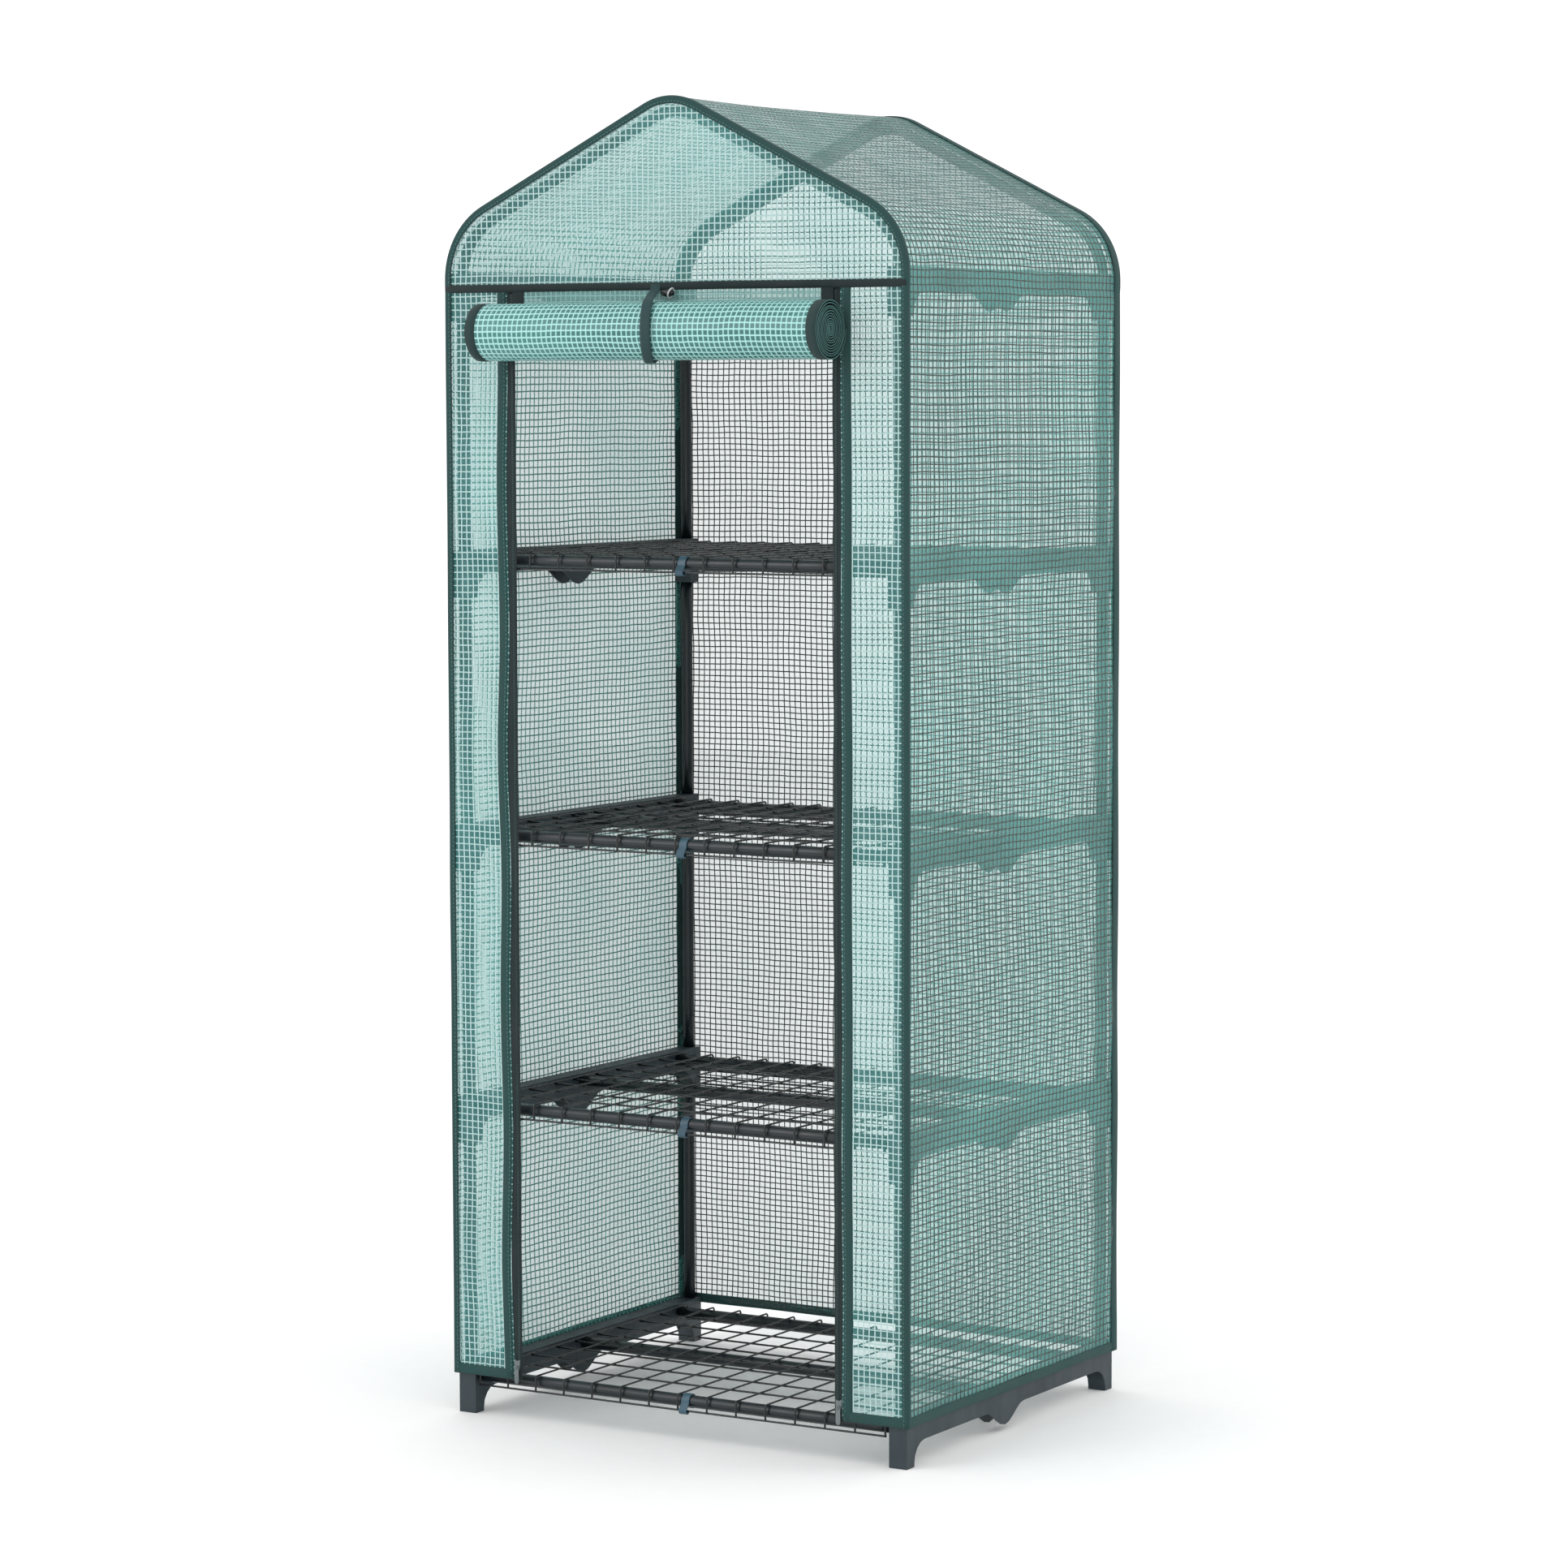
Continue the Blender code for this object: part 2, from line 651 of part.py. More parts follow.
build_side_frames()
build_posts()
build_cross_tubes()
build_bows()
build_shelves()
build_clips()
build_cover()
build_door()
build_strap()
build_zips()
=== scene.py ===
import math

import bpy
import numpy as np
from mathutils import Matrix, Vector, noise


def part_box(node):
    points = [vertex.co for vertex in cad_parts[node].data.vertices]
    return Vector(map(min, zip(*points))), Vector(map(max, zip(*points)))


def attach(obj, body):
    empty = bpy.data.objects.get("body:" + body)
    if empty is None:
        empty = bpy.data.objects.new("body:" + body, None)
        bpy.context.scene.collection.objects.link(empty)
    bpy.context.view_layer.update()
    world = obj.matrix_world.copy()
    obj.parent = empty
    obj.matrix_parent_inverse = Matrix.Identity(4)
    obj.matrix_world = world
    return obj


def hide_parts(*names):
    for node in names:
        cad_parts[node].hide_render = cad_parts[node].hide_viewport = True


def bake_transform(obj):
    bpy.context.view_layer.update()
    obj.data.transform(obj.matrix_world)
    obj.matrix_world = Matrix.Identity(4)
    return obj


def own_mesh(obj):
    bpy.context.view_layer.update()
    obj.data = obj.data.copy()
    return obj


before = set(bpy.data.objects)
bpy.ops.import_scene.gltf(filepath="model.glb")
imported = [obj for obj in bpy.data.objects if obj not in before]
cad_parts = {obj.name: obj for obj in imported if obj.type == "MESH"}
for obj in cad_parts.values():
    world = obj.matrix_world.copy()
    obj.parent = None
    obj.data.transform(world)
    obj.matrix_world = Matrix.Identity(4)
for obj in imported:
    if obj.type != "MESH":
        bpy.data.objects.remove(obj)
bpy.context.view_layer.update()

MM = 0.001

# ---------------------------------------------------------------- places read from the CAD
skin_low, skin_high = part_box("cover_roof_and_sides")
roll_low, roll_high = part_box("door_roll")
toggle_low, toggle_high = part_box("strap_toggle")

HALF_WIDTH = skin_high.x
FRONT_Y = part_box("cover_front")[0].y
BACK_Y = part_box("cover_back")[1].y
MIDDLE_Y = (FRONT_Y + BACK_Y) / 2
HEM_Z = skin_low.z
PEAK_Z = skin_high.z
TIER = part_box("side_frame_right_2")[0].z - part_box("side_frame_right_1")[0].z
FLAP_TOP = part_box("door_sheet")[1].z
STRAP_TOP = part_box("tie_strap")[1].z
BAND_Z = FLAP_TOP + 0.3 * MM
ROLL_Y = (roll_low.y + roll_high.y) / 2
ROLL_Z = (roll_low.z + roll_high.z) / 2
ROLL_RADIUS = (roll_high.z - roll_low.z) / 2
ROLL_HALF = roll_high.x

# Middle of the lowest level; half widths of the door's opening, its hanging part and its zips.
LEVEL_MIDDLE = 43 * MM
OPENING = 232 * MM
FLAP_HALF = OPENING - 9.1 * MM
ZIP_COIL_X = OPENING - 6.6 * MM

# Thickness of the films, and how far they keep inside the outline of the CAD.
FILM_THICKNESS = 0.4 * MM
ROLLED_FILM_THICKNESS = 0.7 * MM
ROLLED_EDGE_THICKNESS = 1.4 * MM
FILM_INSET = 0.6 * MM
SKIN_MARGIN = 1 * MM

# Shape of the gable, as in the CAD: shoulder and peak arcs joined by a straight slope.
SLOPE = math.radians(26.4)
SHOULDER_RADIUS = 97 * MM
PEAK_RADIUS = 80 * MM
SLOPE_NORMAL = math.pi / 2 - SLOPE
SHOULDER_X = HALF_WIDTH - SHOULDER_RADIUS
PEAK_CENTRE_Z = PEAK_Z - PEAK_RADIUS
SLOPE_RUN = SHOULDER_X + (SHOULDER_RADIUS - PEAK_RADIUS) * math.cos(SLOPE_NORMAL)
SLOPE_RISE = (SHOULDER_RADIUS - PEAK_RADIUS) * math.sin(SLOPE_NORMAL) + SLOPE_RUN * math.tan(SLOPE)
SHOULDER_Z = PEAK_CENTRE_Z - SLOPE_RISE

# The door's roll: gaps between its laps, outside and near the core, and the radius of the core.
OUTER_LAP = 3.0 * MM
INNER_LAP = 2.3 * MM
INNER_LAPS_FROM = 9 * MM
CORE_RADIUS = 2.2 * MM

# The tie strap runs aslant over the roll.
STRAP_X = -19 * MM
STRAP_SLANT = 0.43

# Sides of the round rods, and the wire grid of a shelf with its cross wires from the front.
TUBE_SIDES = 28
BOW_SIDES = 24
WIRE_SIDES = 8
WIRE_RADIUS = 1.25 * MM
WIRE_BEND = 4 * MM
WIRE_COLUMNS = 15
CROSS_WIRES_MM = (63, 115, 171, 213, 265, 313, 365, 415)

BEVEL_ANGLE = math.radians(32)

# The studio, and the camera at the photograph's angle.
FLOOR_HALF = 9.0
WORLD_STRENGTH = 1.18
KEY_POWER = 30
RIM_POWER = 12
CAMERA_LENS = 108.98
CAMERA_PLACE = (3.000, -5.010 + MIDDLE_Y, 1.264)
CAMERA_YAW = 0.5403
CAMERA_PITCH = 0.0842
CAMERA_ROLL = -0.0026


# ---------------------------------------------------------------- materials
def new_material(name, **sockets):
    material = bpy.data.materials.new(name)
    material.use_nodes = True
    shader = material.node_tree.nodes["Principled BSDF"]
    for socket, value in sockets.items():
        value = (*value, 1.0) if isinstance(value, tuple) else value
        shader.inputs[socket.replace("_", " ")].default_value = value
    return material, material.node_tree, shader


def node(tree, kind, inputs=None, out=0, **settings):
    """Adds a node; inputs are sockets to link or values to set, by name or number."""
    made = tree.nodes.new(kind)
    for key, value in settings.items():
        setattr(made, key, value)
    for slot, value in (inputs or {}).items():
        if isinstance(value, bpy.types.NodeSocket):
            tree.links.new(value, made.inputs[slot])
        else:
            made.inputs[slot].default_value = value
    return made.outputs[out]


def calc(tree, operation, *values):
    return node(tree, "ShaderNodeMath", dict(enumerate(values)), operation=operation)


def remap(tree, value, low, high, to_low=0.0, to_high=1.0, smooth=False):
    kind = "SMOOTHSTEP" if smooth else "LINEAR"
    numbers = {"Value": value, "From Min": low, "From Max": high, "To Min": to_low, "To Max": to_high}
    return node(tree, "ShaderNodeMapRange", numbers, interpolation_type=kind)


def mix_colour(tree, share, low, high, kind="MIX"):
    low, high = [(*c, 1.0) if isinstance(c, tuple) else c for c in (low, high)]
    inputs = {0: share, 6: low, 7: high}
    return node(tree, "ShaderNodeMix", inputs, out=2, data_type="RGBA", blend_type=kind)


def noise_of(tree, where, scale, detail=2.0, stretch=None):
    if stretch:
        where = node(tree, "ShaderNodeMapping", {"Vector": where, "Scale": stretch})
    return node(tree, "ShaderNodeTexNoise", {"Vector": where, "Scale": scale, "Detail": detail})


def wandering(tree, place, scale, detail, reach):
    """Noise vectors round zero, to draw a pattern out of line."""
    drift = node(tree, "ShaderNodeTexNoise", {"Vector": place, "Scale": scale, "Detail": detail}, out=1)
    centred = node(tree, "ShaderNodeVectorMath", {0: drift, 1: (0.5, 0.5, 0.5)}, operation="SUBTRACT")
    return node(tree, "ShaderNodeVectorMath", {0: centred, "Scale": reach}, operation="SCALE")


def axes_of(tree, place):
    split = tree.nodes.new("ShaderNodeSeparateXYZ")
    tree.links.new(place, split.inputs[0])
    return split.outputs


def attribute(tree, name):
    return node(tree, "ShaderNodeAttribute", out=1, attribute_name=name)


def object_place(tree):
    return node(tree, "ShaderNodeTexCoord", out=3)


def finish_surface(tree, shader, colour=None, roughness=None, height=None, distance=0.2 * MM, alpha=None):
    if colour is not None:
        tree.links.new(colour, shader.inputs["Base Color"])
    if roughness is not None:
        tree.links.new(roughness, shader.inputs["Roughness"])
    if alpha is not None:
        tree.links.new(alpha, shader.inputs["Alpha"])
    if height is not None:
        bump = node(tree, "ShaderNodeBump", {"Height": height, "Distance": distance})
        tree.links.new(bump, shader.inputs["Normal"])


def reinforced_film(name, pitch, across, along, film, clear, where="weave", widths=(1.7 * MM, 1.7 * MM),
                    solid=0.93):
    """Clear film with a woven grid in it. across and along are the colours of the
    strands that run across and along the sheet; clear is how little the film hides."""
    material, tree, shader = new_material(name, IOR=1.45)
    place = attribute(tree, where) if where else object_place(tree)
    pulled = wandering(tree, place, 9.0, 3.0, 6 * MM)
    fine = wandering(tree, place, 130.0, 1.0, 0.4 * MM)
    warped = node(tree, "ShaderNodeVectorMath", {0: place, 1: pulled}, operation="ADD")
    warped = node(tree, "ShaderNodeVectorMath", {0: warped, 1: fine}, operation="ADD")
    sides = axes_of(tree, warped)
    axes = (sides[0], sides[1] if where else sides[2])
    strands = []
    for axis, step, width in zip(axes, pitch, widths):
        off_centre = calc(tree, "PINGPONG", axis, step / 2)
        strands.append(remap(tree, off_centre, 0.35 * width, 0.62 * width, 1.0, 0.0, smooth=True))
        strands.append(remap(tree, off_centre, 0.0, 0.62 * width, 1.0, 0.0))
    lengthways, lengthways_round, crossways, crossways_round = strands
    cloud = noise_of(tree, place, 5.0, 3.0)
    haze = remap(tree, cloud, 0.3, 0.7, 0.86, 1.12)
    grey = node(tree, "ShaderNodeCombineXYZ", {0: haze, 1: haze, 2: haze})
    tint = mix_colour(tree, 1.0, film, grey, "MULTIPLY")
    colour = mix_colour(tree, lengthways, tint, along)
    colour = mix_colour(tree, crossways, colour, across)
    covered = calc(tree, "MAXIMUM", lengthways, crossways)
    film_share = remap(tree, cloud, 0.3, 0.72, (1 - clear) * 0.88, (1 - clear) * 1.12)
    alpha = calc(tree, "MAXIMUM", calc(tree, "MULTIPLY", covered, solid), film_share)
    raised = calc(tree, "MAXIMUM", lengthways_round, crossways_round)
    crease = noise_of(tree, place, 38.0, 3.0, (1.0, 0.45, 1.0))
    height = calc(tree, "ADD", raised, calc(tree, "MULTIPLY", crease, 1.5))
    gloss = remap(tree, noise_of(tree, place, 16.0), 0.3, 0.7, 0.16, 0.34)
    roughness = calc(tree, "ADD", gloss, calc(tree, "MULTIPLY", covered, 0.22))
    finish_surface(tree, shader, colour, roughness, height, 0.35 * MM, alpha)
    return material


def tape_cloth(name, dark, light, stitch=None, stitch_at=None, rib=0.9 * MM):
    """Woven binding tape: fine ribs across it, a slight sheen and a row of stitches."""
    material, tree, shader = new_material(name, Sheen_Weight=0.04, Sheen_Roughness=0.4)
    place = attribute(tree, "weave")
    lengthways, crossways = axes_of(tree, place)[:2]
    ribs = remap(tree, calc(tree, "PINGPONG", lengthways, rib / 2), 0.0, rib / 2)
    rows = remap(tree, calc(tree, "PINGPONG", crossways, rib / 2), 0.0, rib / 2)
    threads = calc(tree, "MULTIPLY", ribs, rows)
    worn = noise_of(tree, place, 22.0, 4.0)
    shade = calc(tree, "ADD", calc(tree, "MULTIPLY", threads, 0.45), calc(tree, "MULTIPLY", worn, 0.6))
    colour = mix_colour(tree, shade, dark, light)
    height = threads
    if stitch:
        dash = remap(tree, calc(tree, "PINGPONG", lengthways, 2.5 * MM), 0.9 * MM, 1.2 * MM, smooth=True)
        beside = calc(tree, "ABSOLUTE", calc(tree, "SUBTRACT", crossways, stitch_at))
        line = remap(tree, beside, 0.35 * MM, 0.6 * MM, 1.0, 0.0, smooth=True)
        sewn = calc(tree, "MULTIPLY", dash, line)
        colour = mix_colour(tree, sewn, colour, stitch)
        height = calc(tree, "ADD", height, calc(tree, "MULTIPLY", sewn, 1.5))
    roughness = remap(tree, worn, 0.3, 0.7, 0.72, 0.9)
    finish_surface(tree, shader, colour, roughness, height, 0.25 * MM)
    return material


def moulded(name, dark, light, rough=(0.38, 0.56), grain=900.0, depth=0.12 * MM, **sockets):
    """Moulded plastic or a powder coat: fine grain over slow patches of tone and gloss."""
    material, tree, shader = new_material(name, **sockets)
    place = object_place(tree)
    slow = noise_of(tree, place, 14.0, 4.0)
    fine = noise_of(tree, place, grain, 2.0)
    colour = mix_colour(tree, remap(tree, slow, 0.3, 0.7), dark, light)
    scuff = noise_of(tree, place, 60.0, 5.0, (1.0, 1.0, 0.3))
    roughness = remap(tree, scuff, 0.3, 0.7, *rough)
    finish_surface(tree, shader, colour, roughness, fine, depth)
    return material


# Mint film, in an outer and an inner copy for each panel. The inner copies are shaded copies of the same
# film: their near-black strands are painted shade, and their pale film is painted light let through from
# behind. The side and back outer copies are darker than the front one, also as painted shade.
side_out = reinforced_film(
    "film_side_outer", pitch=(9.7 * MM, 8.6 * MM), across=(0.105, 0.310, 0.285), along=(0.26, 0.55, 0.52),
    film=(0.086, 0.405, 0.370), clear=0.47, widths=(2.3 * MM, 2.0 * MM), solid=0.9)
# Inner copy of the side film: near-black strands as painted shade, pale film as painted light from behind.
side_in_painted_shade = reinforced_film(
    "film_side_inner_painted_shade", pitch=(9.7 * MM, 8.6 * MM), across=(0.010, 0.026, 0.021), along=(0.013, 0.032, 0.027),
    film=(0.60, 0.82, 0.78), clear=0.96, widths=(2.1 * MM, 1.4 * MM))
front_out = reinforced_film(
    "film_front_outer", pitch=(7.7 * MM, 8.1 * MM), across=(0.42, 0.60, 0.59), along=(0.52, 0.70, 0.69),
    film=(0.10, 0.50, 0.475), clear=0.77, widths=(1.6 * MM, 1.6 * MM), solid=0.88)
# Inner copy of the front film: near-black strands as painted shade, pale film as painted light from behind.
front_in_painted_shade = reinforced_film(
    "film_front_inner_painted_shade", pitch=(7.7 * MM, 8.1 * MM), across=(0.04, 0.09, 0.085), along=(0.05, 0.11, 0.10),
    film=(0.50, 0.80, 0.76), clear=0.95, widths=(1.2 * MM, 1.2 * MM))
back_out = reinforced_film(
    "film_back_outer", pitch=(8.2 * MM, 7.55 * MM), across=(0.045, 0.15, 0.14), along=(0.12, 0.30, 0.28),
    film=(0.115, 0.38, 0.355), clear=0.68, solid=0.88)
# Inner copy of the back film: near-black strands as painted shade, pale film as painted light from behind.
back_in_painted_shade = reinforced_film(
    "film_back_inner_painted_shade", pitch=(8.2 * MM, 7.55 * MM), across=(0.008, 0.019, 0.016), along=(0.010, 0.024, 0.020),
    film=(0.74, 0.90, 0.87), clear=0.97, widths=(1.4 * MM, 1.3 * MM))
door_film = reinforced_film(
    "film_door_rolled", pitch=(7.0 * MM, 7.2 * MM), across=(0.36, 0.66, 0.63), along=(0.32, 0.62, 0.59),
    film=(0.048, 0.170, 0.160), clear=0.04, widths=(1.9 * MM, 1.9 * MM), solid=1.0)
flap_film = reinforced_film(
    "film_door_hanging", pitch=(7.0 * MM, 7.2 * MM), across=(0.26, 0.48, 0.46), along=(0.28, 0.50, 0.48),
    film=(0.20, 0.44, 0.42), clear=0.60, where=None)

binding = tape_cloth(
    "binding_green", dark=(0.003, 0.028, 0.027), light=(0.013, 0.072, 0.068),
    stitch=(0.05, 0.16, 0.15), stitch_at=2.4 * MM)
hem_tape = tape_cloth("hem_green", dark=(0.004, 0.034, 0.032), light=(0.015, 0.078, 0.073))
dark_tape = tape_cloth("zip_tape_dark", dark=(0.003, 0.010, 0.011), light=(0.008, 0.022, 0.023))
strap_web = tape_cloth("strap_webbing", dark=(0.005, 0.026, 0.030), light=(0.016, 0.058, 0.062), rib=1.6 * MM)
roll_edge = tape_cloth("roll_edge_binding", dark=(0.003, 0.017, 0.018), light=(0.012, 0.045, 0.045))
# The film's folded edge at each end of the roll, coloured lighter as a painted highlight.
roll_rim_highlight = moulded(
    "roll_edge_fold_painted_highlight", dark=(0.050, 0.175, 0.165), light=(0.090, 0.260, 0.245), rough=(0.5, 0.7), grain=700.0)
frame_plastic = moulded(
    "frame_slate_plastic", dark=(0.012, 0.023, 0.030), light=(0.025, 0.042, 0.052), rough=(0.46, 0.62))
tube_coat = moulded(
    "tube_powder_coat", dark=(0.003, 0.007, 0.010), light=(0.008, 0.014, 0.018), rough=(0.26, 0.38),
    grain=420.0, depth=0.02 * MM)
wire_coat = moulded(
    "wire_dipped_black", dark=(0.006, 0.008, 0.009), light=(0.014, 0.017, 0.019), rough=(0.22, 0.34),
    grain=300.0, depth=0.01 * MM)
clip_blue = moulded(
    "clip_blue_plastic", dark=(0.016, 0.050, 0.078), light=(0.032, 0.085, 0.120), rough=(0.30, 0.44))
zip_zinc = moulded(
    "zip_grey_zinc", dark=(0.10, 0.12, 0.125), light=(0.19, 0.215, 0.22), rough=(0.36, 0.52), grain=700.0,
    Metallic=0.6)
zip_coil = moulded(
    "zip_coil_nylon", dark=(0.010, 0.030, 0.031), light=(0.030, 0.070, 0.070), rough=(0.3, 0.45))
toggle_black = moulded(
    "toggle_black_plastic", dark=(0.006, 0.007, 0.008), light=(0.014, 0.016, 0.018), rough=(0.18, 0.32))
cord_white = moulded(
    "cord_white", dark=(0.55, 0.56, 0.54), light=(0.80, 0.80, 0.78), rough=(0.6, 0.8), grain=500.0,
    depth=0.3 * MM)


# ---------------------------------------------------------------- meshes
def add_object(name, verts, faces, materials, coords=None, slots=None, smooth=True):
    mesh = bpy.data.meshes.new(name)
    mesh.from_pydata([tuple(v) for v in verts], [], faces)
    if coords is not None:
        flat = np.zeros((len(verts), 3))
        flat[:, : np.shape(coords)[1]] = coords
        mesh.attributes.new("weave", "FLOAT_VECTOR", "POINT").data.foreach_set("vector", flat.ravel())
    for material in materials:
        mesh.materials.append(material)
    if slots is not None:
        mesh.polygons.foreach_set("material_index", slots)
    mesh.polygons.foreach_set("use_smooth", [smooth] * len(mesh.polygons))
    mesh.update()
    obj = bpy.data.objects.new(name, mesh)
    bpy.context.scene.collection.objects.link(obj)
    return obj


def lattice(rows, columns, closed=False):
    """Faces of a grid of rows by columns; closed joins its last column to its first."""
    faces = []
    for row in range(rows - 1):
        for column in range(columns if closed else columns - 1):
            right = (column + 1) % columns
            faces.append((row * columns + column, row * columns + right,
                          (row + 1) * columns + right, (row + 1) * columns + column))
    return faces


def applied(obj):
    """Turns the object's modifiers into plain mesh."""
    bpy.context.view_layer.update()
    graph = bpy.context.evaluated_depsgraph_get()
    shaped = obj.evaluated_get(graph)
    mesh = bpy.data.meshes.new_from_object(shaped, preserve_all_data_layers=True, depsgraph=graph)
    obj.modifiers.clear()
    obj.data = mesh
    return obj


def solid_sheet(obj, thickness, inner_slot=0, offset=-1.0):
    shell = obj.modifiers.new("Thickness", "SOLIDIFY")
    shell.thickness = thickness
    shell.offset = offset
    shell.material_offset = inner_slot
    return applied(obj)


def unit(vector):
    vector = np.array(vector, float)
    return vector / np.linalg.norm(vector)


def line_section(line, thickness):
    """Closed section of a tape that follows a line of (a, b) points, with rounded ends."""
    line = np.array(line, float)
    tangents = np.gradient(line, axis=0)
    tangents /= np.linalg.norm(tangents, axis=1)[:, None]
    normals = np.stack([-tangents[:, 1], tangents[:, 0]], 1)
    half = thickness / 2
    there = line + normals * half
    back = (line - normals * half)[::-1]
    first = line[0] - tangents[0] * half * 0.8
    last = line[-1] + tangents[-1] * half * 0.8
    across = np.concatenate([[0], np.cumsum(np.linalg.norm(np.diff(line, axis=0), axis=1))])
    section = np.vstack([there, [last], back, [first]])
    return section, np.concatenate([across, [across[-1]], across[::-1], [0]])


def sweep(name, origins, axis_a, axis_b, section, material, along=None, across=None, body="root"):
    """Sweeps a closed section, given in two axes, along a path, and caps its ends."""
    origins = np.array(origins, float)
    count, sides = len(origins), len(section)
    axis_a = np.broadcast_to(np.array(axis_a, float), (count, 3))
    axis_b = np.broadcast_to(np.array(axis_b, float), (count, 3))
    section = np.array(section, float)
    verts = (origins[:, None, :] + axis_a[:, None, :] * section[None, :, :1]
             + axis_b[:, None, :] * section[None, :, 1:])
    if along is None:
        along = np.concatenate([[0], np.cumsum(np.linalg.norm(np.diff(origins, axis=0), axis=1))])
    if across is None:
        across = np.arange(sides) * MM
    coords = np.stack([np.repeat(along, sides), np.tile(across, count)], 1)
    faces = lattice(count, sides, closed=True)
    faces.append(tuple(range(sides))[::-1])
    faces.append(tuple(range((count - 1) * sides, count * sides)))
    obj = add_object(name, verts.reshape(-1, 3), faces, [material], coords)
    if body:
        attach(obj, body)
    return obj


def circle(radius, sides):
    angles = np.linspace(0, math.tau, sides, endpoint=False)
    return [(radius * math.cos(a), radius * math.sin(a)) for a in angles]


def rod(name, points, radius, sides, material, body="root"):
    """A round rod along points, with its section carried along without twist."""
    points = np.array(points, float)
    tangents = np.gradient(points, axis=0)
    tangents /= np.linalg.norm(tangents, axis=1)[:, None]
    first = unit(np.cross(tangents[0], (0, 0, 1) if abs(tangents[0][2]) < 0.9 else (1, 0, 0)))
    axes = [first]
    for tangent in tangents[1:]:
        axes.append(unit(axes[-1] - tangent * np.dot(axes[-1], tangent)))
    axes = np.array(axes)
    section = circle(radius, sides)
    return sweep(name, points, axes, np.cross(tangents, axes), section, material, body=body)


def joined(name, objects, body="root"):
    """One mesh from several, with their materials and coordinates kept."""
    verts, faces, coords, slots, materials = [], [], [], [], []
    for obj in objects:
        mesh = obj.data
        start = len(verts)
        verts += [obj.matrix_world @ v.co for v in mesh.vertices]
        faces += [tuple(start + i for i in polygon.vertices) for polygon in mesh.polygons]
        flat = np.zeros(len(mesh.vertices) * 3)
        mesh.attributes["weave"].data.foreach_get("vector", flat)
        coords.append(flat.reshape(-1, 3))
        for polygon in mesh.polygons:
            material = mesh.materials[polygon.material_index]
            if material not in materials:
                materials.append(material)
            slots.append(materials.index(material))
        bpy.data.objects.remove(obj)
    made = add_object(name, verts, faces, materials, np.vstack(coords), slots)
    if body:
        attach(made, body)
    return made


# ---------------------------------------------------------------- the gable's outline
def gable_line(foot_z, step):
    """Points from the left foot over the peak to the right foot, as rows of
    (x, z, normal x, normal z, distance along)."""
    rows = []
    count = max(2, int((SHOULDER_Z - foot_z) / step))
    for z in np.linspace(foot_z, SHOULDER_Z, count, endpoint=False):
        rows.append((HALF_WIDTH, z, 1.0, 0.0))
    for a in np.linspace(0, SLOPE_NORMAL, 16):
        x, z = SHOULDER_X + SHOULDER_RADIUS * math.cos(a), SHOULDER_Z + SHOULDER_RADIUS * math.sin(a)
        rows.append((x, z, math.cos(a), math.sin(a)))
    start = rows[-1]
    end = (PEAK_RADIUS * math.cos(SLOPE_NORMAL), PEAK_CENTRE_Z + PEAK_RADIUS * math.sin(SLOPE_NORMAL))
    count = max(2, int(math.hypot(end[0] - start[0], end[1] - start[1]) / step))
    for share in np.linspace(0, 1, count, endpoint=False)[1:]:
        x, z = start[0] + (end[0] - start[0]) * share, start[1] + (end[1] - start[1]) * share
        rows.append((x, z, math.cos(SLOPE_NORMAL), math.sin(SLOPE_NORMAL)))
    for a in np.linspace(SLOPE_NORMAL, math.pi / 2, 8):
        x, z = PEAK_RADIUS * math.cos(a), PEAK_CENTRE_Z + PEAK_RADIUS * math.sin(a)
        rows.append((x, z, math.cos(a), math.sin(a)))
    right = np.array(rows)
    left = right[:-1] * (-1, 1, -1, 1)
    line = np.vstack([left, right[::-1]])
    distance = np.concatenate([[0], np.cumsum(np.hypot(*np.diff(line[:, :2], axis=0).T))])
    return np.column_stack([line, distance])


def gable_top(x):
    """Height of the cover's outline over x."""
    x = abs(x)
    slope_x = PEAK_RADIUS * math.cos(SLOPE_NORMAL)
    slope_z = PEAK_CENTRE_Z + PEAK_RADIUS * math.sin(SLOPE_NORMAL)
    if x <= slope_x:
        return PEAK_CENTRE_Z + math.sqrt(PEAK_RADIUS ** 2 - x ** 2)
    if x <= SHOULDER_X + SHOULDER_RADIUS * math.cos(SLOPE_NORMAL):
        return slope_z - (x - slope_x) * math.tan(SLOPE)
    return SHOULDER_Z + math.sqrt(max(0.0, SHOULDER_RADIUS ** 2 - (x - SHOULDER_X) ** 2))


def between_levels(z):
    """0 where a side frame holds the cover out, 1 half way between two frames."""
    return math.sin(math.pi * (z - LEVEL_MIDDLE) / TIER) ** 2 if z < BAND_Z else 0.0


def edge_pull(side, z):
    """How far the free edge of a front strip has drawn aside between two shelves."""
    reach = 3.2 * MM if side < 0 else 1.2 * MM
    uneven = 1 + 0.5 * noise.noise(Vector((side * 3, 0, z * 3.1)))
    return side * reach * between_levels(z) * uneven if z < ROLL_Z - 2 * ROLL_RADIUS else 0.0


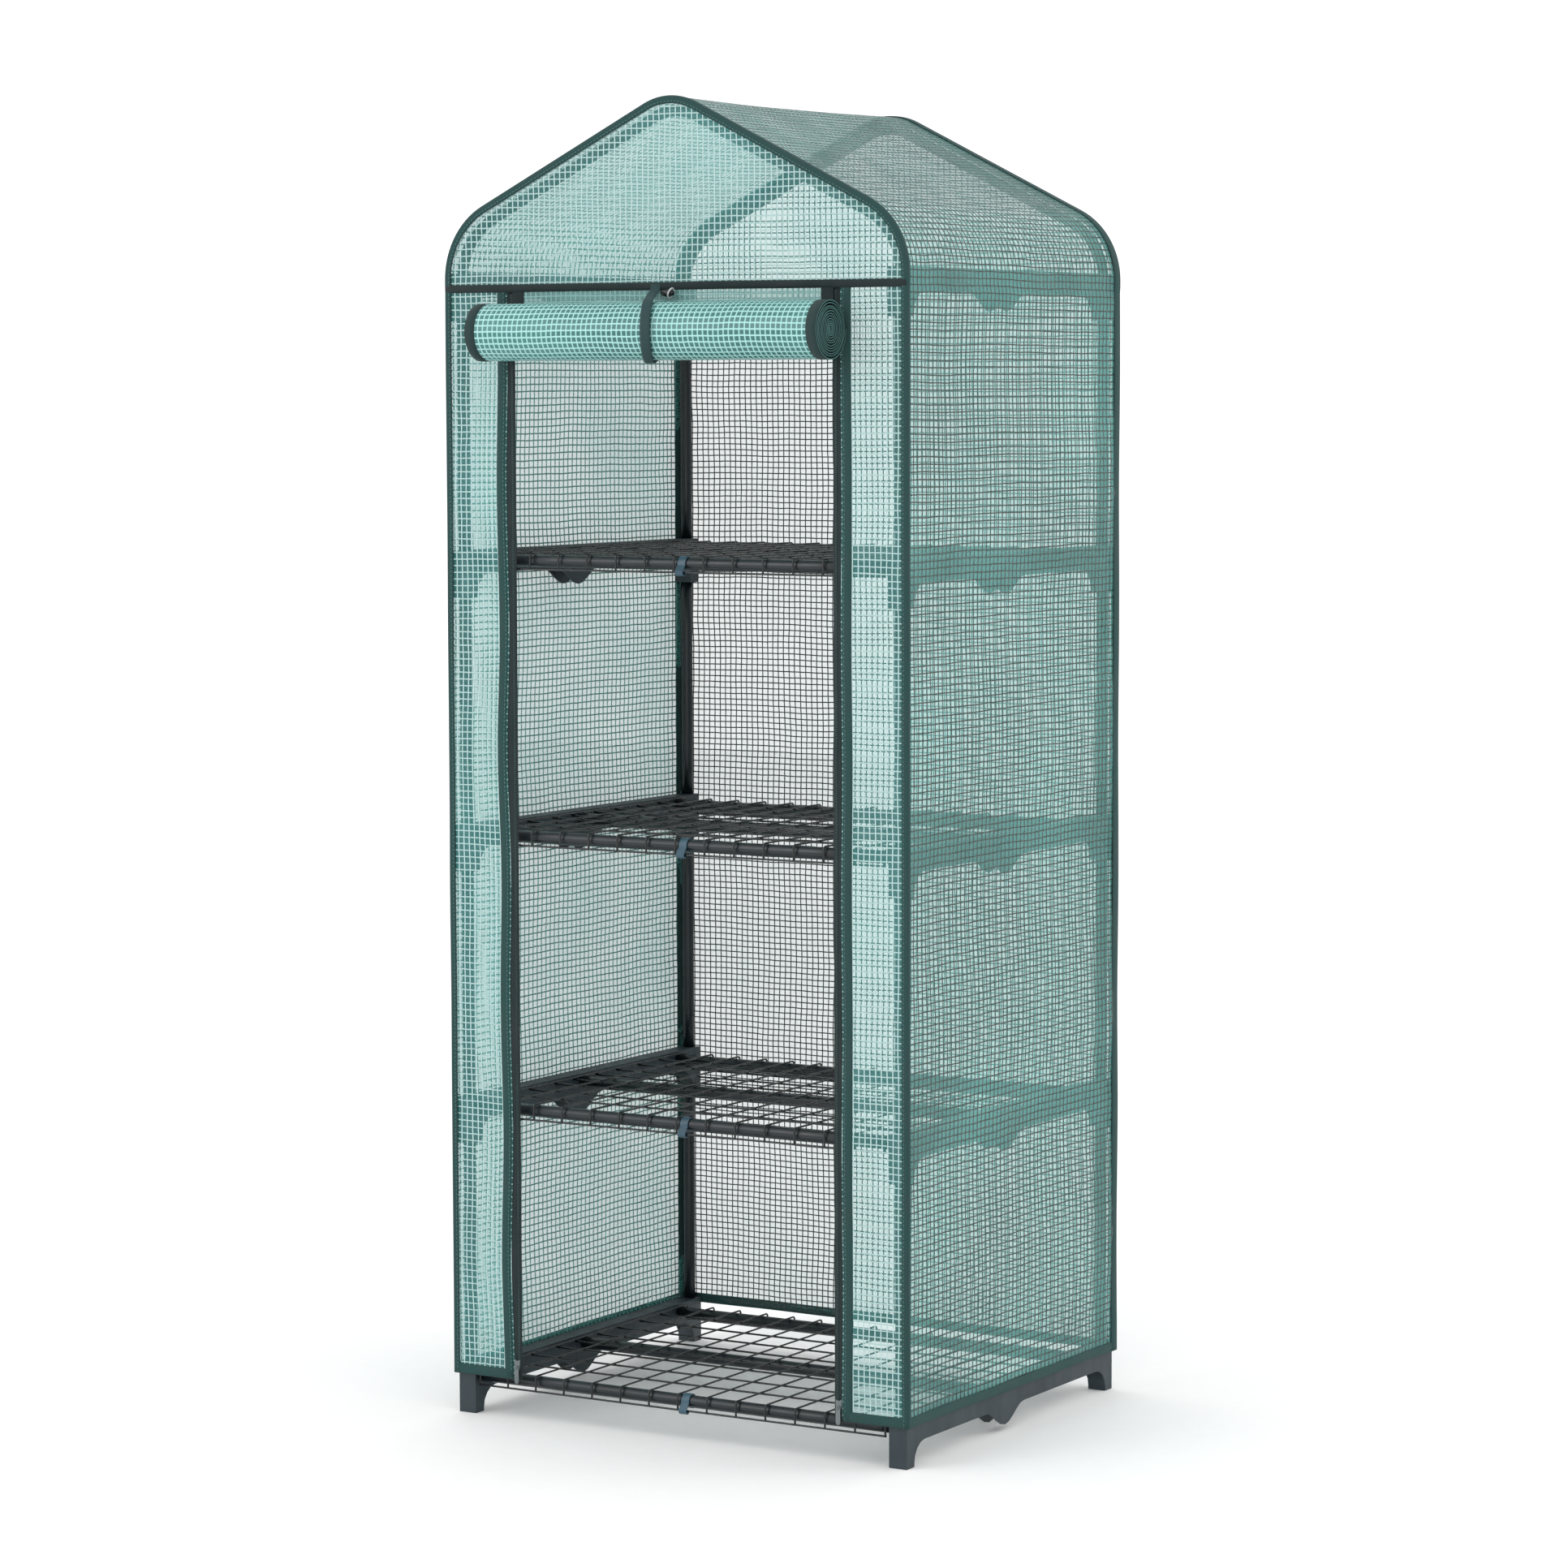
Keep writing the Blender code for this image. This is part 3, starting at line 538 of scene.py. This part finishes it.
# ---------------------------------------------------------------- cover skins
def build_side_skin():
    line = gable_line(HEM_Z + SKIN_MARGIN, 10 * MM)
    depth = np.linspace(FRONT_Y + SKIN_MARGIN, BACK_Y - SKIN_MARGIN, 50)
    billow, drawn_in, wall_wrinkle = 3.0 * MM, 1.6 * MM, 2.2 * MM
    roof_sag, roof_wrinkle = 2.2 * MM, 1.6 * MM
    pleat_pitch, pleat_reach = 52 * MM, 60 * MM
    verts, coords = [], []
    for x, z, nx, nz, s in line:
        for y in depth:
            across = 1 - ((y - MIDDLE_Y) / ((BACK_Y - FRONT_Y) / 2)) ** 2
            wall, roof = nx * nx, nz * nz
            taut = min(1.0, across * 2.2)
            ripple = noise.noise(Vector((x * 2.5, y * 5.5, z * 3.2)))
            out = wall * taut * (billow * between_levels(z) - drawn_in + wall_wrinkle * ripple)
            out += roof * taut * (-roof_sag * across + roof_wrinkle * ripple)
            from_back = (BACK_Y - y) / pleat_reach
            pleat = math.sin(math.tau * (z / pleat_pitch + 3 * ripple)) * math.exp(-from_back) * taut
            out += wall * 1.3 * MM * pleat
            out = max(out, -3.0 * MM) if wall > 0.5 else out
            verts.append((x + (out - FILM_INSET) * nx, y, z + (out - FILM_INSET) * nz))
            coords.append((y, s))
    faces = lattice(len(line), len(depth))
    obj = add_object("cover_sides_and_roof_film", verts, faces, [side_out, side_in_painted_shade], coords)
    solid_sheet(obj, FILM_THICKNESS, 1, offset=0.0)
    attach(obj, "root")
    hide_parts("cover_roof_and_sides")
    return obj, line[-1][4]


def gable_columns():
    columns = set(np.round(np.linspace(-OPENING, OPENING, 47), 6))
    for x in np.linspace(OPENING, HALF_WIDTH - SKIN_MARGIN, 12):
        columns |= {round(x, 6), round(-x, 6)}
    return sorted(columns)


def build_end_skin(name, y, facing, opening, materials):
    """The front or back panel: columns from the hem, or from the band, to the outline."""
    columns = gable_columns()
    edge_fade, hem_fade, band_fade, opening_fade = 40 * MM, 25 * MM, 30 * MM, 25 * MM
    opening_flat = OPENING + 12 * MM
    verts, coords, faces, index = [], [], [], {}

    def add(x, z):
        key = (round(x, 6), round(z, 6))
        if key not in index:
            index[key] = len(verts)
            slack = noise.noise(Vector((x * 5, facing * 3, z * 3.4)))
            from_side, from_top = HALF_WIDTH - abs(x), max(0.0, gable_top(x) - z)
            inside = min(1.0, from_side / edge_fade, from_top / edge_fade, (z - HEM_Z) / hem_fade)
            if opening:
                inside = min(inside, abs(z - BAND_Z) / band_fade)
            if opening and z < BAND_Z:
                inside = min(inside, max(0.0, abs(x) - opening_flat) / opening_fade)
            hold = between_levels(z)
            out = facing * inside * ((2.4 * hold - 0.8 + 2.4 * slack) * MM - FILM_INSET)
            shift = 0.0
            if opening and z < BAND_Z:
                share = 1 - (abs(x) - OPENING) / (HALF_WIDTH - OPENING)
                shift = share * edge_pull(math.copysign(1, x), z)
            verts.append((x + shift, y + out, z))
            coords.append((x, z))
        return index[key]

    heights = np.linspace(HEM_Z + SKIN_MARGIN, BAND_Z, 131)
    for left, right in zip(columns, columns[1:]):
        if not opening or max(abs(left), abs(right)) > OPENING + SKIN_MARGIN:
            for low, high in zip(heights, heights[1:]):
                faces.append((add(left, low), add(right, low), add(right, high), add(left, high)))
        tops = gable_top(left) - 0.8 * MM, gable_top(right) - 0.8 * MM
        steps = 24
        for k in range(steps):
            a, b = k / steps, (k + 1) / steps
            corners = [(left, a, tops[0]), (right, a, tops[1]), (right, b, tops[1]), (left, b, tops[0])]
            faces.append(tuple(add(x, BAND_Z + (top - BAND_Z) * share) for x, share, top in corners))
    if facing > 0:
        faces = [face[::-1] for face in faces]
    obj = add_object(name, verts, faces, materials, coords)
    solid_sheet(obj, FILM_THICKNESS, 1, offset=0.0)
    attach(obj, "root")
    return obj


side_skin, girth = build_side_skin()
front_skin = build_end_skin("cover_front_film", FRONT_Y + 0.8 * MM, -1, True, [front_out, front_in_painted_shade])
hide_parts("cover_front")
back_skin = build_end_skin("cover_back_film", BACK_Y - 0.8 * MM, 1, False, [back_out, back_in_painted_shade])
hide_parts("cover_back")


# ---------------------------------------------------------------- bindings
def build_corner_binding(name, y, facing, on_face, on_side):
    line = gable_line(HEM_Z - 0.5 * MM, 8 * MM)
    origins, outward = [], []
    for x, z, nx, nz, s in line:
        bow = 1.3 * MM * between_levels(z) * abs(nx) * (0.6 if facing < 0 else 1.4)
        bow += 0.6 * MM * noise.noise(Vector((x * 4, facing, z * 7)))
        origins.append((x - bow * nx * 0.5, y, z))
        outward.append((nx, 0, nz))
    turn = 2.0 * MM
    path = [(-on_face, 0), (-on_face * 0.6, 0.35 * MM), (-turn * 1.6, 0.3 * MM)]
    for a in np.linspace(0, math.pi / 2, 5):
        reach = turn + 0.3 * MM
        path.append((-turn + reach * math.sin(a), -turn + reach * math.cos(a)))
    path += [(0.3 * MM, -on_side * 0.5), (0.1 * MM, -on_side)]
    section, across = line_section(path, 1.5 * MM)
    face_axis = (0, facing, 0)
    if facing > 0:
        section, across = section[::-1], across[::-1]
    return sweep(name, origins, outward, face_axis, section, binding, line[:, 4], across)


def build_hem():
    """The hem tape, round the sides and back, from one edge of the opening to the other."""
    inset = 0.7 * MM
    w, f, b, r = HALF_WIDTH - inset, FRONT_Y + inset, BACK_Y - inset, 7 * MM
    points, outward = [], []

    def straight(start, end, normal, count):
        for share in np.linspace(0, 1, count):
            points.append(Vector(start).lerp(Vector(end), share))
            outward.append(normal)

    def corner(cx, cy, a0, a1):
        for a in np.linspace(a0, a1, 7)[1:-1]:
            points.append(Vector((cx + r * math.cos(a), cy + r * math.sin(a))))
            outward.append((math.cos(a), math.sin(a)))

    edge = OPENING + 2 * MM
    straight((-edge, f), (-w + r, f), (0, -1), 6)
    corner(-w + r, f + r, -math.pi / 2, -math.pi)
    straight((-w, f + r), (-w, b - r), (-1, 0), 30)
    corner(-w + r, b - r, math.pi, math.pi / 2)
    straight((-w + r, b), (w - r, b), (0, 1), 36)
    corner(w - r, b - r, math.pi / 2, 0)
    straight((w, b - r), (w, f + r), (1, 0), 30)
    corner(w - r, f + r, 0, -math.pi / 2)
    straight((w - r, f), (edge, f), (0, -1), 6)
    origins = [(p.x, p.y, HEM_Z + 0.8 * MM * noise.noise(Vector((p.x * 8, p.y * 8, 1)))) for p in points]
    path = [(0, 0), (0.5 * MM, 3 * MM), (0.5 * MM, 8 * MM), (0, 11 * MM)]
    section, across = line_section(path, 1.7 * MM)
    axes = [(n[0], n[1], 0) for n in outward]
    return sweep("cover_hem_tape", origins, axes, (0, 0, 1), section[::-1], hem_tape, across=across[::-1])


def build_band():
    xs = np.linspace(-HALF_WIDTH + 1.5 * MM, HALF_WIDTH - 1.5 * MM, 90)
    origins = [(x, FRONT_Y - 0.1 * MM + 0.5 * MM * noise.noise(Vector((x * 9, 2, 5))),
                BAND_Z + 0.7 * MM * noise.noise(Vector((x * 6, 0, 3)))) for x in xs]
    path = [(0, 0), (0.6 * MM, 2.5 * MM), (0.6 * MM, 5.5 * MM), (0, 8 * MM)]
    section, across = line_section(path, 1.8 * MM)
    across = across[::-1]
    return sweep("band_over_door", origins, (0, -1, 0), (0, 0, 1), section[::-1], dark_tape, across=across)


def edge_heights(low, high, step):
    return np.linspace(low, high, max(2, int((high - low) / step)))


def upright_tape(name, origins, sign, path, thickness, material, along, body="root"):
    """A tape up one side of the door; path is its section, as (away from the middle, forward)."""
    section, across = line_section(path, thickness)
    if sign > 0:
        section, across = section[::-1], across[::-1]
    return sweep(name, origins, (sign, 0, 0), (0, -1, 0), section, material, along, across, body)


def build_opening_edge(side):
    """Green binding, dark zip tape inside it and the coil of the zip along that."""
    sign = -1 if side == "left" else 1
    pieces = []
    zs = edge_heights(HEM_Z - 0.5 * MM, BAND_Z, 10 * MM)
    origins = []
    for z in zs:
        wave = 0.2 * MM * noise.noise(Vector((sign, 7, z * 9)))
        origins.append((sign * OPENING + edge_pull(sign, z), FRONT_Y + 0.9 * MM + wave, z))
    path = [(2 * MM, 0), (5 * MM, 0.6 * MM), (10 * MM, 0.6 * MM), (13.5 * MM, 0)]
    pieces.append(upright_tape(f"opening_binding_{side}", origins, sign, path, 1.8 * MM, binding, zs))
    path = [(-10.4 * MM, 0), (-2 * MM, 0.2 * MM), (8 * MM, 0.2 * MM)]
    origins = [(sign * OPENING, FRONT_Y + 2.0 * MM, z) for z in zs]
    pieces.append(upright_tape(f"zip_tape_{side}", origins, sign, path, 0.8 * MM, dark_tape, zs))
    step = 2.4 * MM
    teeth = []
    faces = []
    for k in range(int((BAND_Z - HEM_Z - 26 * MM) / step)):
        z = HEM_Z + 24 * MM + k * step
        x = sign * ZIP_COIL_X
        start = len(teeth)
        for dx, dy, dz in ((-1.7, 0, -0.8), (1.7, 0, -0.6), (1.7, 0, 0.6), (-1.7, 0, 0.8),
                           (-1.1, -1.3, -0.5), (1.1, -1.1, -0.4), (1.1, -1.1, 0.4), (-1.1, -1.3, 0.5)):
            teeth.append((x - sign * dx * MM, FRONT_Y + (1.9 + dy) * MM, z + dz * MM))
        for face in ((0, 3, 2, 1), (4, 5, 6, 7), (0, 1, 5, 4), (1, 2, 6, 5), (2, 3, 7, 6), (3, 0, 4, 7)):
            faces.append(tuple(start + i for i in (face if sign < 0 else face[::-1])))
    coil = add_object(f"zip_coil_{side}", teeth, faces, [zip_coil], np.zeros((len(teeth), 3)), smooth=False)
    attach(coil, "root")
    pieces.append(coil)
    return pieces


binding_front = build_corner_binding("cover_binding_front", FRONT_Y, -1, 8 * MM, 5 * MM)
binding_back = build_corner_binding("cover_binding_back", BACK_Y, 1, 11 * MM, 15 * MM)
hem = build_hem()
band = build_band()
edges = {side: build_opening_edge(side) for side in ("left", "right")}


# ---------------------------------------------------------------- the rolled door
def spiral():
    """Section line of the rolled door, as (y, z, distance), from its back inwards."""
    rows, angle, radius = [], 0.0, ROLL_RADIUS - 0.8 * MM
    step = math.radians(9)
    while radius > CORE_RADIUS:
        loose = 1 + 0.012 * math.sin(angle * 1.7) + 0.02 * math.sin(angle * 0.61)
        flat = 1 - 0.45 * max(0.0, 1 - radius / (20 * MM)) * math.cos(angle) ** 2
        reach = radius * min(loose, 1.0)
        rows.append((ROLL_Y + reach * flat * math.cos(angle), ROLL_Z - reach * math.sin(angle)))
        pitch = OUTER_LAP if radius > INNER_LAPS_FROM else INNER_LAP
        angle += step
        radius -= pitch * step / math.tau
    line = np.array(rows)
    distance = np.concatenate([[0], np.cumsum(np.hypot(*np.diff(line, axis=0).T))])
    return np.column_stack([line, distance])


def roll_mesh(name, line, xs, thickness, material):
    verts = [(x, y, z) for y, z, s in line for x in xs]
    coords = [(x, s) for y, z, s in line for x in xs]
    obj = add_object(name, verts, lattice(len(line), len(xs)), [material], coords)
    return solid_sheet(obj, thickness, offset=0.0)


door_line = spiral()
roll_columns = np.linspace(-ROLL_HALF + 2 * MM, ROLL_HALF - 2 * MM, 60)
rolled_door = roll_mesh("door_rolled_film", door_line, roll_columns, ROLLED_FILM_THICKNESS, door_film)
end_parts = []
for sign in (-1, 1):
    xs = sorted(sign * (ROLL_HALF - inset * MM) for inset in (0.4, 5, 14))
    end_parts.append(roll_mesh(f"end_{sign}", door_line, xs, ROLLED_EDGE_THICKNESS, roll_edge))
    # A thin lighter rod along the film's edge at each end of the roll, as a painted highlight.
    fold = [(sign * (ROLL_HALF - 0.9 * MM), y, z) for y, z, s in door_line]
    end_parts.append(rod(f"fold_{sign}", fold, 0.6 * MM, 6, roll_rim_highlight, body=None))
rolled_ends = joined("door_rolled_edge_binding", end_parts, body=None)
for piece in (rolled_door, rolled_ends):
    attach(piece, "door_roll")
    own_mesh(piece)
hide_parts("door_roll")


def build_flap():
    """The part of the door between the band and the roll, drawn at one length; on the real door it grows as
    the roll unrolls.
    """
    zs = np.linspace(FLAP_TOP, ROLL_Z, 61)
    start_y, end_y = FRONT_Y + 0.2 * MM, roll_high.y + 0.9 * MM
    depth = [start_y + (end_y - start_y) * ((zs[0] - z) / (zs[0] - zs[-1])) ** 5 for z in zs]
    xs = np.linspace(-FLAP_HALF, FLAP_HALF, 42)
    verts = [(x, y, z) for y, z in zip(depth, zs) for x in xs]
    coords = [(x, z) for x, y, z in verts]
    film = add_object("door_hanging_film", verts, lattice(len(zs), len(xs)), [flap_film], coords)
    solid_sheet(film, FILM_THICKNESS, offset=0.0)
    parts = [film]
    width = 16 * MM
    path = [(0, 0), (4 * MM, 0.2 * MM), (12 * MM, 0.2 * MM), (width, 0)]
    for side, sign in (("left", -1), ("right", 1)):
        origins = [(sign * (FLAP_HALF - width), y, z) for y, z in zip(depth, zs)]
        name = f"door_hanging_edge_{side}"
        parts.append(upright_tape(name, origins, sign, path, 1.2 * MM, dark_tape, -zs, body=None))
    for part in parts:
        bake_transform(part)
    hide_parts("door_sheet")
    return parts


flap = build_flap()


# ---------------------------------------------------------------- strap and toggle
def build_strap():
    radius = ROLL_RADIUS + 1.4 * MM
    front = FRONT_Y - 1.9 * MM
    inside = FRONT_Y + 2.3 * MM
    line = [(front, STRAP_TOP), (front, BAND_Z + 1 * MM)]
    line += [(ROLL_Y + radius * math.cos(a), ROLL_Z + radius * math.sin(a))
             for a in np.linspace(math.radians(100), math.radians(285), 40)]
    line += [(inside, ROLL_Z - ROLL_RADIUS + 4 * MM), (inside, ROLL_Z), (inside, FLAP_TOP)]
    line = np.array(line)
    tangents = np.gradient(line, axis=0)
    tangents /= np.linalg.norm(tangents, axis=1)[:, None]
    across_x = STRAP_X - STRAP_SLANT * (line[:, 0] - FRONT_Y)
    origins = np.column_stack([across_x, line])
    outward = np.column_stack([np.zeros(len(line)), tangents[:, 1], -tangents[:, 0]])
    path = [(-6.5 * MM, 0), (-3 * MM, 0.3 * MM), (3 * MM, 0.3 * MM), (6.5 * MM, 0)]
    section, across = line_section(path, 1.2 * MM)
    strap = sweep("door_tie_strap", origins, (1, 0, 0), outward, section, strap_web, across=across)
    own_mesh(strap)
    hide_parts("tie_strap")


def build_toggle():
    """A black barrel toggle with waisted ends on a knotted white cord."""
    middle = (toggle_low + toggle_high) / 2
    half = (toggle_high.x - toggle_low.x) / 2
    thick = (toggle_high.z - toggle_low.z) / 2
    half_profile = [(0.15, 0.98), (0.40, 0.90), (0.70, 0.74), (0.88, 0.66), (0.97, 0.52), (1.0, 0.30)]
    profile = [(-along, wide) for along, wide in half_profile[::-1]] + half_profile
    sides = 20
    verts = []
    for along, wide in profile:
        for y, z in circle(thick * wide, sides):
            verts.append((middle.x + half * along, middle.y + y, middle.z + z))
    faces = lattice(len(profile), sides, closed=True)
    faces += [tuple(range(sides)), tuple(range((len(profile) - 1) * sides, len(profile) * sides))[::-1]]
    faces = [face[::-1] for face in faces]
    coords = [(x, z) for x, y, z in verts]
    toggle = add_object("strap_toggle_barrel", verts, faces, [toggle_black], coords)
    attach(toggle, "root")
    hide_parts("strap_toggle")
    turns = 1.6
    reach = thick + 1.1 * MM
    loop = []
    for t in np.linspace(0, 1, 34):
        a = math.tau * turns * t
        x = middle.x + half * 0.55 + 2.2 * MM * math.sin(a)
        loop.append((x, middle.y - 0.4 * MM + reach * math.cos(a), middle.z + reach * math.sin(a)))
    rod("strap_toggle_cord", loop, 0.9 * MM, 10, cord_white)


build_strap()
build_toggle()


# ---------------------------------------------------------------- rack
def straight_tube(node_name):
    low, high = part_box(node_name)
    size = high - low
    axis = max(range(3), key=lambda i: size[i])
    middle = (low + high) / 2
    others = [i for i in range(3) if i != axis]
    radius = (size[others[0]] + size[others[1]]) / 4
    start, end = middle.copy(), middle.copy()
    start[axis], end[axis] = low[axis], high[axis]
    points = [start.lerp(end, t) for t in np.linspace(0, 1, 6)]
    obj = rod(f"{node_name}_tube", points, radius, TUBE_SIDES, tube_coat)
    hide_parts(node_name)


def build_bow(end):
    low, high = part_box(f"roof_bow_{end}")
    radius = (high.y - low.y) / 2
    inset = PEAK_Z - high.z + radius
    line = gable_line(low.z, 10 * MM)
    middle_y = (low.y + high.y) / 2
    points = [(x - inset * nx, middle_y, z - inset * nz) for x, z, nx, nz, s in line]
    obj = rod(f"roof_bow_{end}_tube", points, radius, BOW_SIDES, tube_coat)
    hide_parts(f"roof_bow_{end}")


def build_shelf(number):
    low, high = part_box(f"wire_shelf_{number}")
    top = high.z - WIRE_RADIUS
    lip = low.z + WIRE_RADIUS
    front, back = low.y + WIRE_RADIUS, high.y - WIRE_RADIUS
    pitch = (high.x - low.x - 2 * WIRE_RADIUS) / (WIRE_COLUMNS - 1)
    parts = []
    for column in range(WIRE_COLUMNS):
        x = low.x + WIRE_RADIUS + column * pitch
        path = [(x, front, lip)]
        for y0, sign in ((front, 1), (back, -1)):
            arc = [(x, y0 + sign * WIRE_BEND * (1 - math.cos(a)), top - WIRE_BEND + WIRE_BEND * math.sin(a))
                   for a in np.linspace(0, math.pi / 2, 6)]
            path += arc if sign > 0 else arc[::-1]
            if sign > 0:
                path += [(x, y, top) for y in np.linspace(front + 2 * WIRE_BEND, back - 2 * WIRE_BEND, 12)]
        path.append((x, back, lip))
        parts.append(rod(f"y{column}", path, WIRE_RADIUS, WIRE_SIDES, wire_coat, body=None))
    under = top - 1.9 * WIRE_RADIUS
    rows = [(front + from_front * MM, under) for from_front in CROSS_WIRES_MM]
    rows += [(front + 0.2 * MM, lip), (back - 0.2 * MM, lip)]
    for row, (y, z) in enumerate(rows):
        path = [(x, y, z) for x in np.linspace(low.x, high.x, 14)]
        parts.append(rod(f"x{row}", path, WIRE_RADIUS, WIRE_SIDES, wire_coat, body=None))
    obj = joined(f"wire_shelf_{number}_grid", parts)
    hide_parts(f"wire_shelf_{number}")


for node_name in sorted(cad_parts):
    if node_name.startswith(("post_", "tube_")):
        straight_tube(node_name)
for end in ("front", "back"):
    build_bow(end)
for number in range(1, 5):
    build_shelf(number)


def soften(node_name, material, width):
    """A CAD node keeps its shape, with small rounded edges and a real finish."""
    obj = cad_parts[node_name]
    obj.data.materials.clear()
    obj.data.materials.append(material)
    weld = obj.modifiers.new("Weld", "WELD")
    weld.merge_threshold = 0.01 * MM
    bevel = obj.modifiers.new("Bevel", "BEVEL")
    bevel.width = width
    bevel.segments = 3
    bevel.limit_method = "ANGLE"
    bevel.angle_limit = BEVEL_ANGLE
    bevel.use_clamp_overlap = True
    bevel.harden_normals = False
    obj.data.polygons.foreach_set("use_smooth", [True] * len(obj.data.polygons))
    weighted = obj.modifiers.new("Normals", "WEIGHTED_NORMAL")
    weighted.keep_sharp = True


for node_name in sorted(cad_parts):
    if node_name.startswith("side_frame_"):
        soften(node_name, frame_plastic, 1.0 * MM)
    elif node_name.startswith("shelf_clip_"):
        soften(node_name, clip_blue, 0.4 * MM)
    elif node_name.startswith("zip_"):
        soften(node_name, zip_zinc, 0.3 * MM)


# ---------------------------------------------------------------- floor, light and camera
def build_floor():
    material, tree, shader = new_material("studio_floor")
    place = object_place(tree)
    grain = noise_of(tree, place, 40.0, 4.0)
    colour = mix_colour(tree, grain, (0.90, 0.90, 0.90), (0.93, 0.93, 0.93))
    finish_surface(tree, shader, colour, remap(tree, grain, 0.3, 0.7, 0.75, 0.85), grain, 0.1 * MM)
    verts = [(x * FLOOR_HALF, y * FLOOR_HALF, 0) for x, y in ((-1, -1), (1, -1), (1, 1), (-1, 1))]
    add_object("studio_floor", verts, [(0, 1, 2, 3)], [material], smooth=False)


def area_light(name, place, target, size, power):
    light = bpy.data.lights.new(name, "AREA")
    light.shape = "RECTANGLE"
    light.size, light.size_y = size
    light.energy = power
    obj = bpy.data.objects.new(name, light)
    obj.location = place
    obj.rotation_euler = (Vector(target) - Vector(place)).to_track_quat("-Z", "Y").to_euler()
    bpy.context.scene.collection.objects.link(obj)


def build_studio():
    build_floor()
    world = bpy.data.worlds.new("studio_world")
    world.use_nodes = True
    background = world.node_tree.nodes["Background"]
    background.inputs["Color"].default_value = (1, 1, 1, 1)
    background.inputs["Strength"].default_value = WORLD_STRENGTH
    bpy.context.scene.world = world
    bpy.context.scene.view_settings.view_transform = "Standard"
    area_light("key", (-1.6, -3.2, 2.6), (0, 0, 0.9), (1.6, 2.4), KEY_POWER)
    area_light("rim", (2.6, 1.2, 2.4), (0, 0, 1.0), (1.2, 2.0), RIM_POWER)


def build_camera():
    data = bpy.data.cameras.new("camera")
    data.lens = CAMERA_LENS
    data.sensor_width = 36
    camera = bpy.data.objects.new("camera", data)
    camera.location = CAMERA_PLACE
    level = math.cos(CAMERA_PITCH)
    look = Vector((-math.sin(CAMERA_YAW) * level, math.cos(CAMERA_YAW) * level, -math.sin(CAMERA_PITCH)))
    turn = look.to_track_quat("-Z", "Y").to_matrix().to_4x4()
    camera.rotation_euler = (turn @ Matrix.Rotation(CAMERA_ROLL, 4, "Z")).to_euler()
    bpy.context.scene.collection.objects.link(camera)
    bpy.context.scene.camera = camera


build_studio()
build_camera()
bpy.context.view_layer.update()
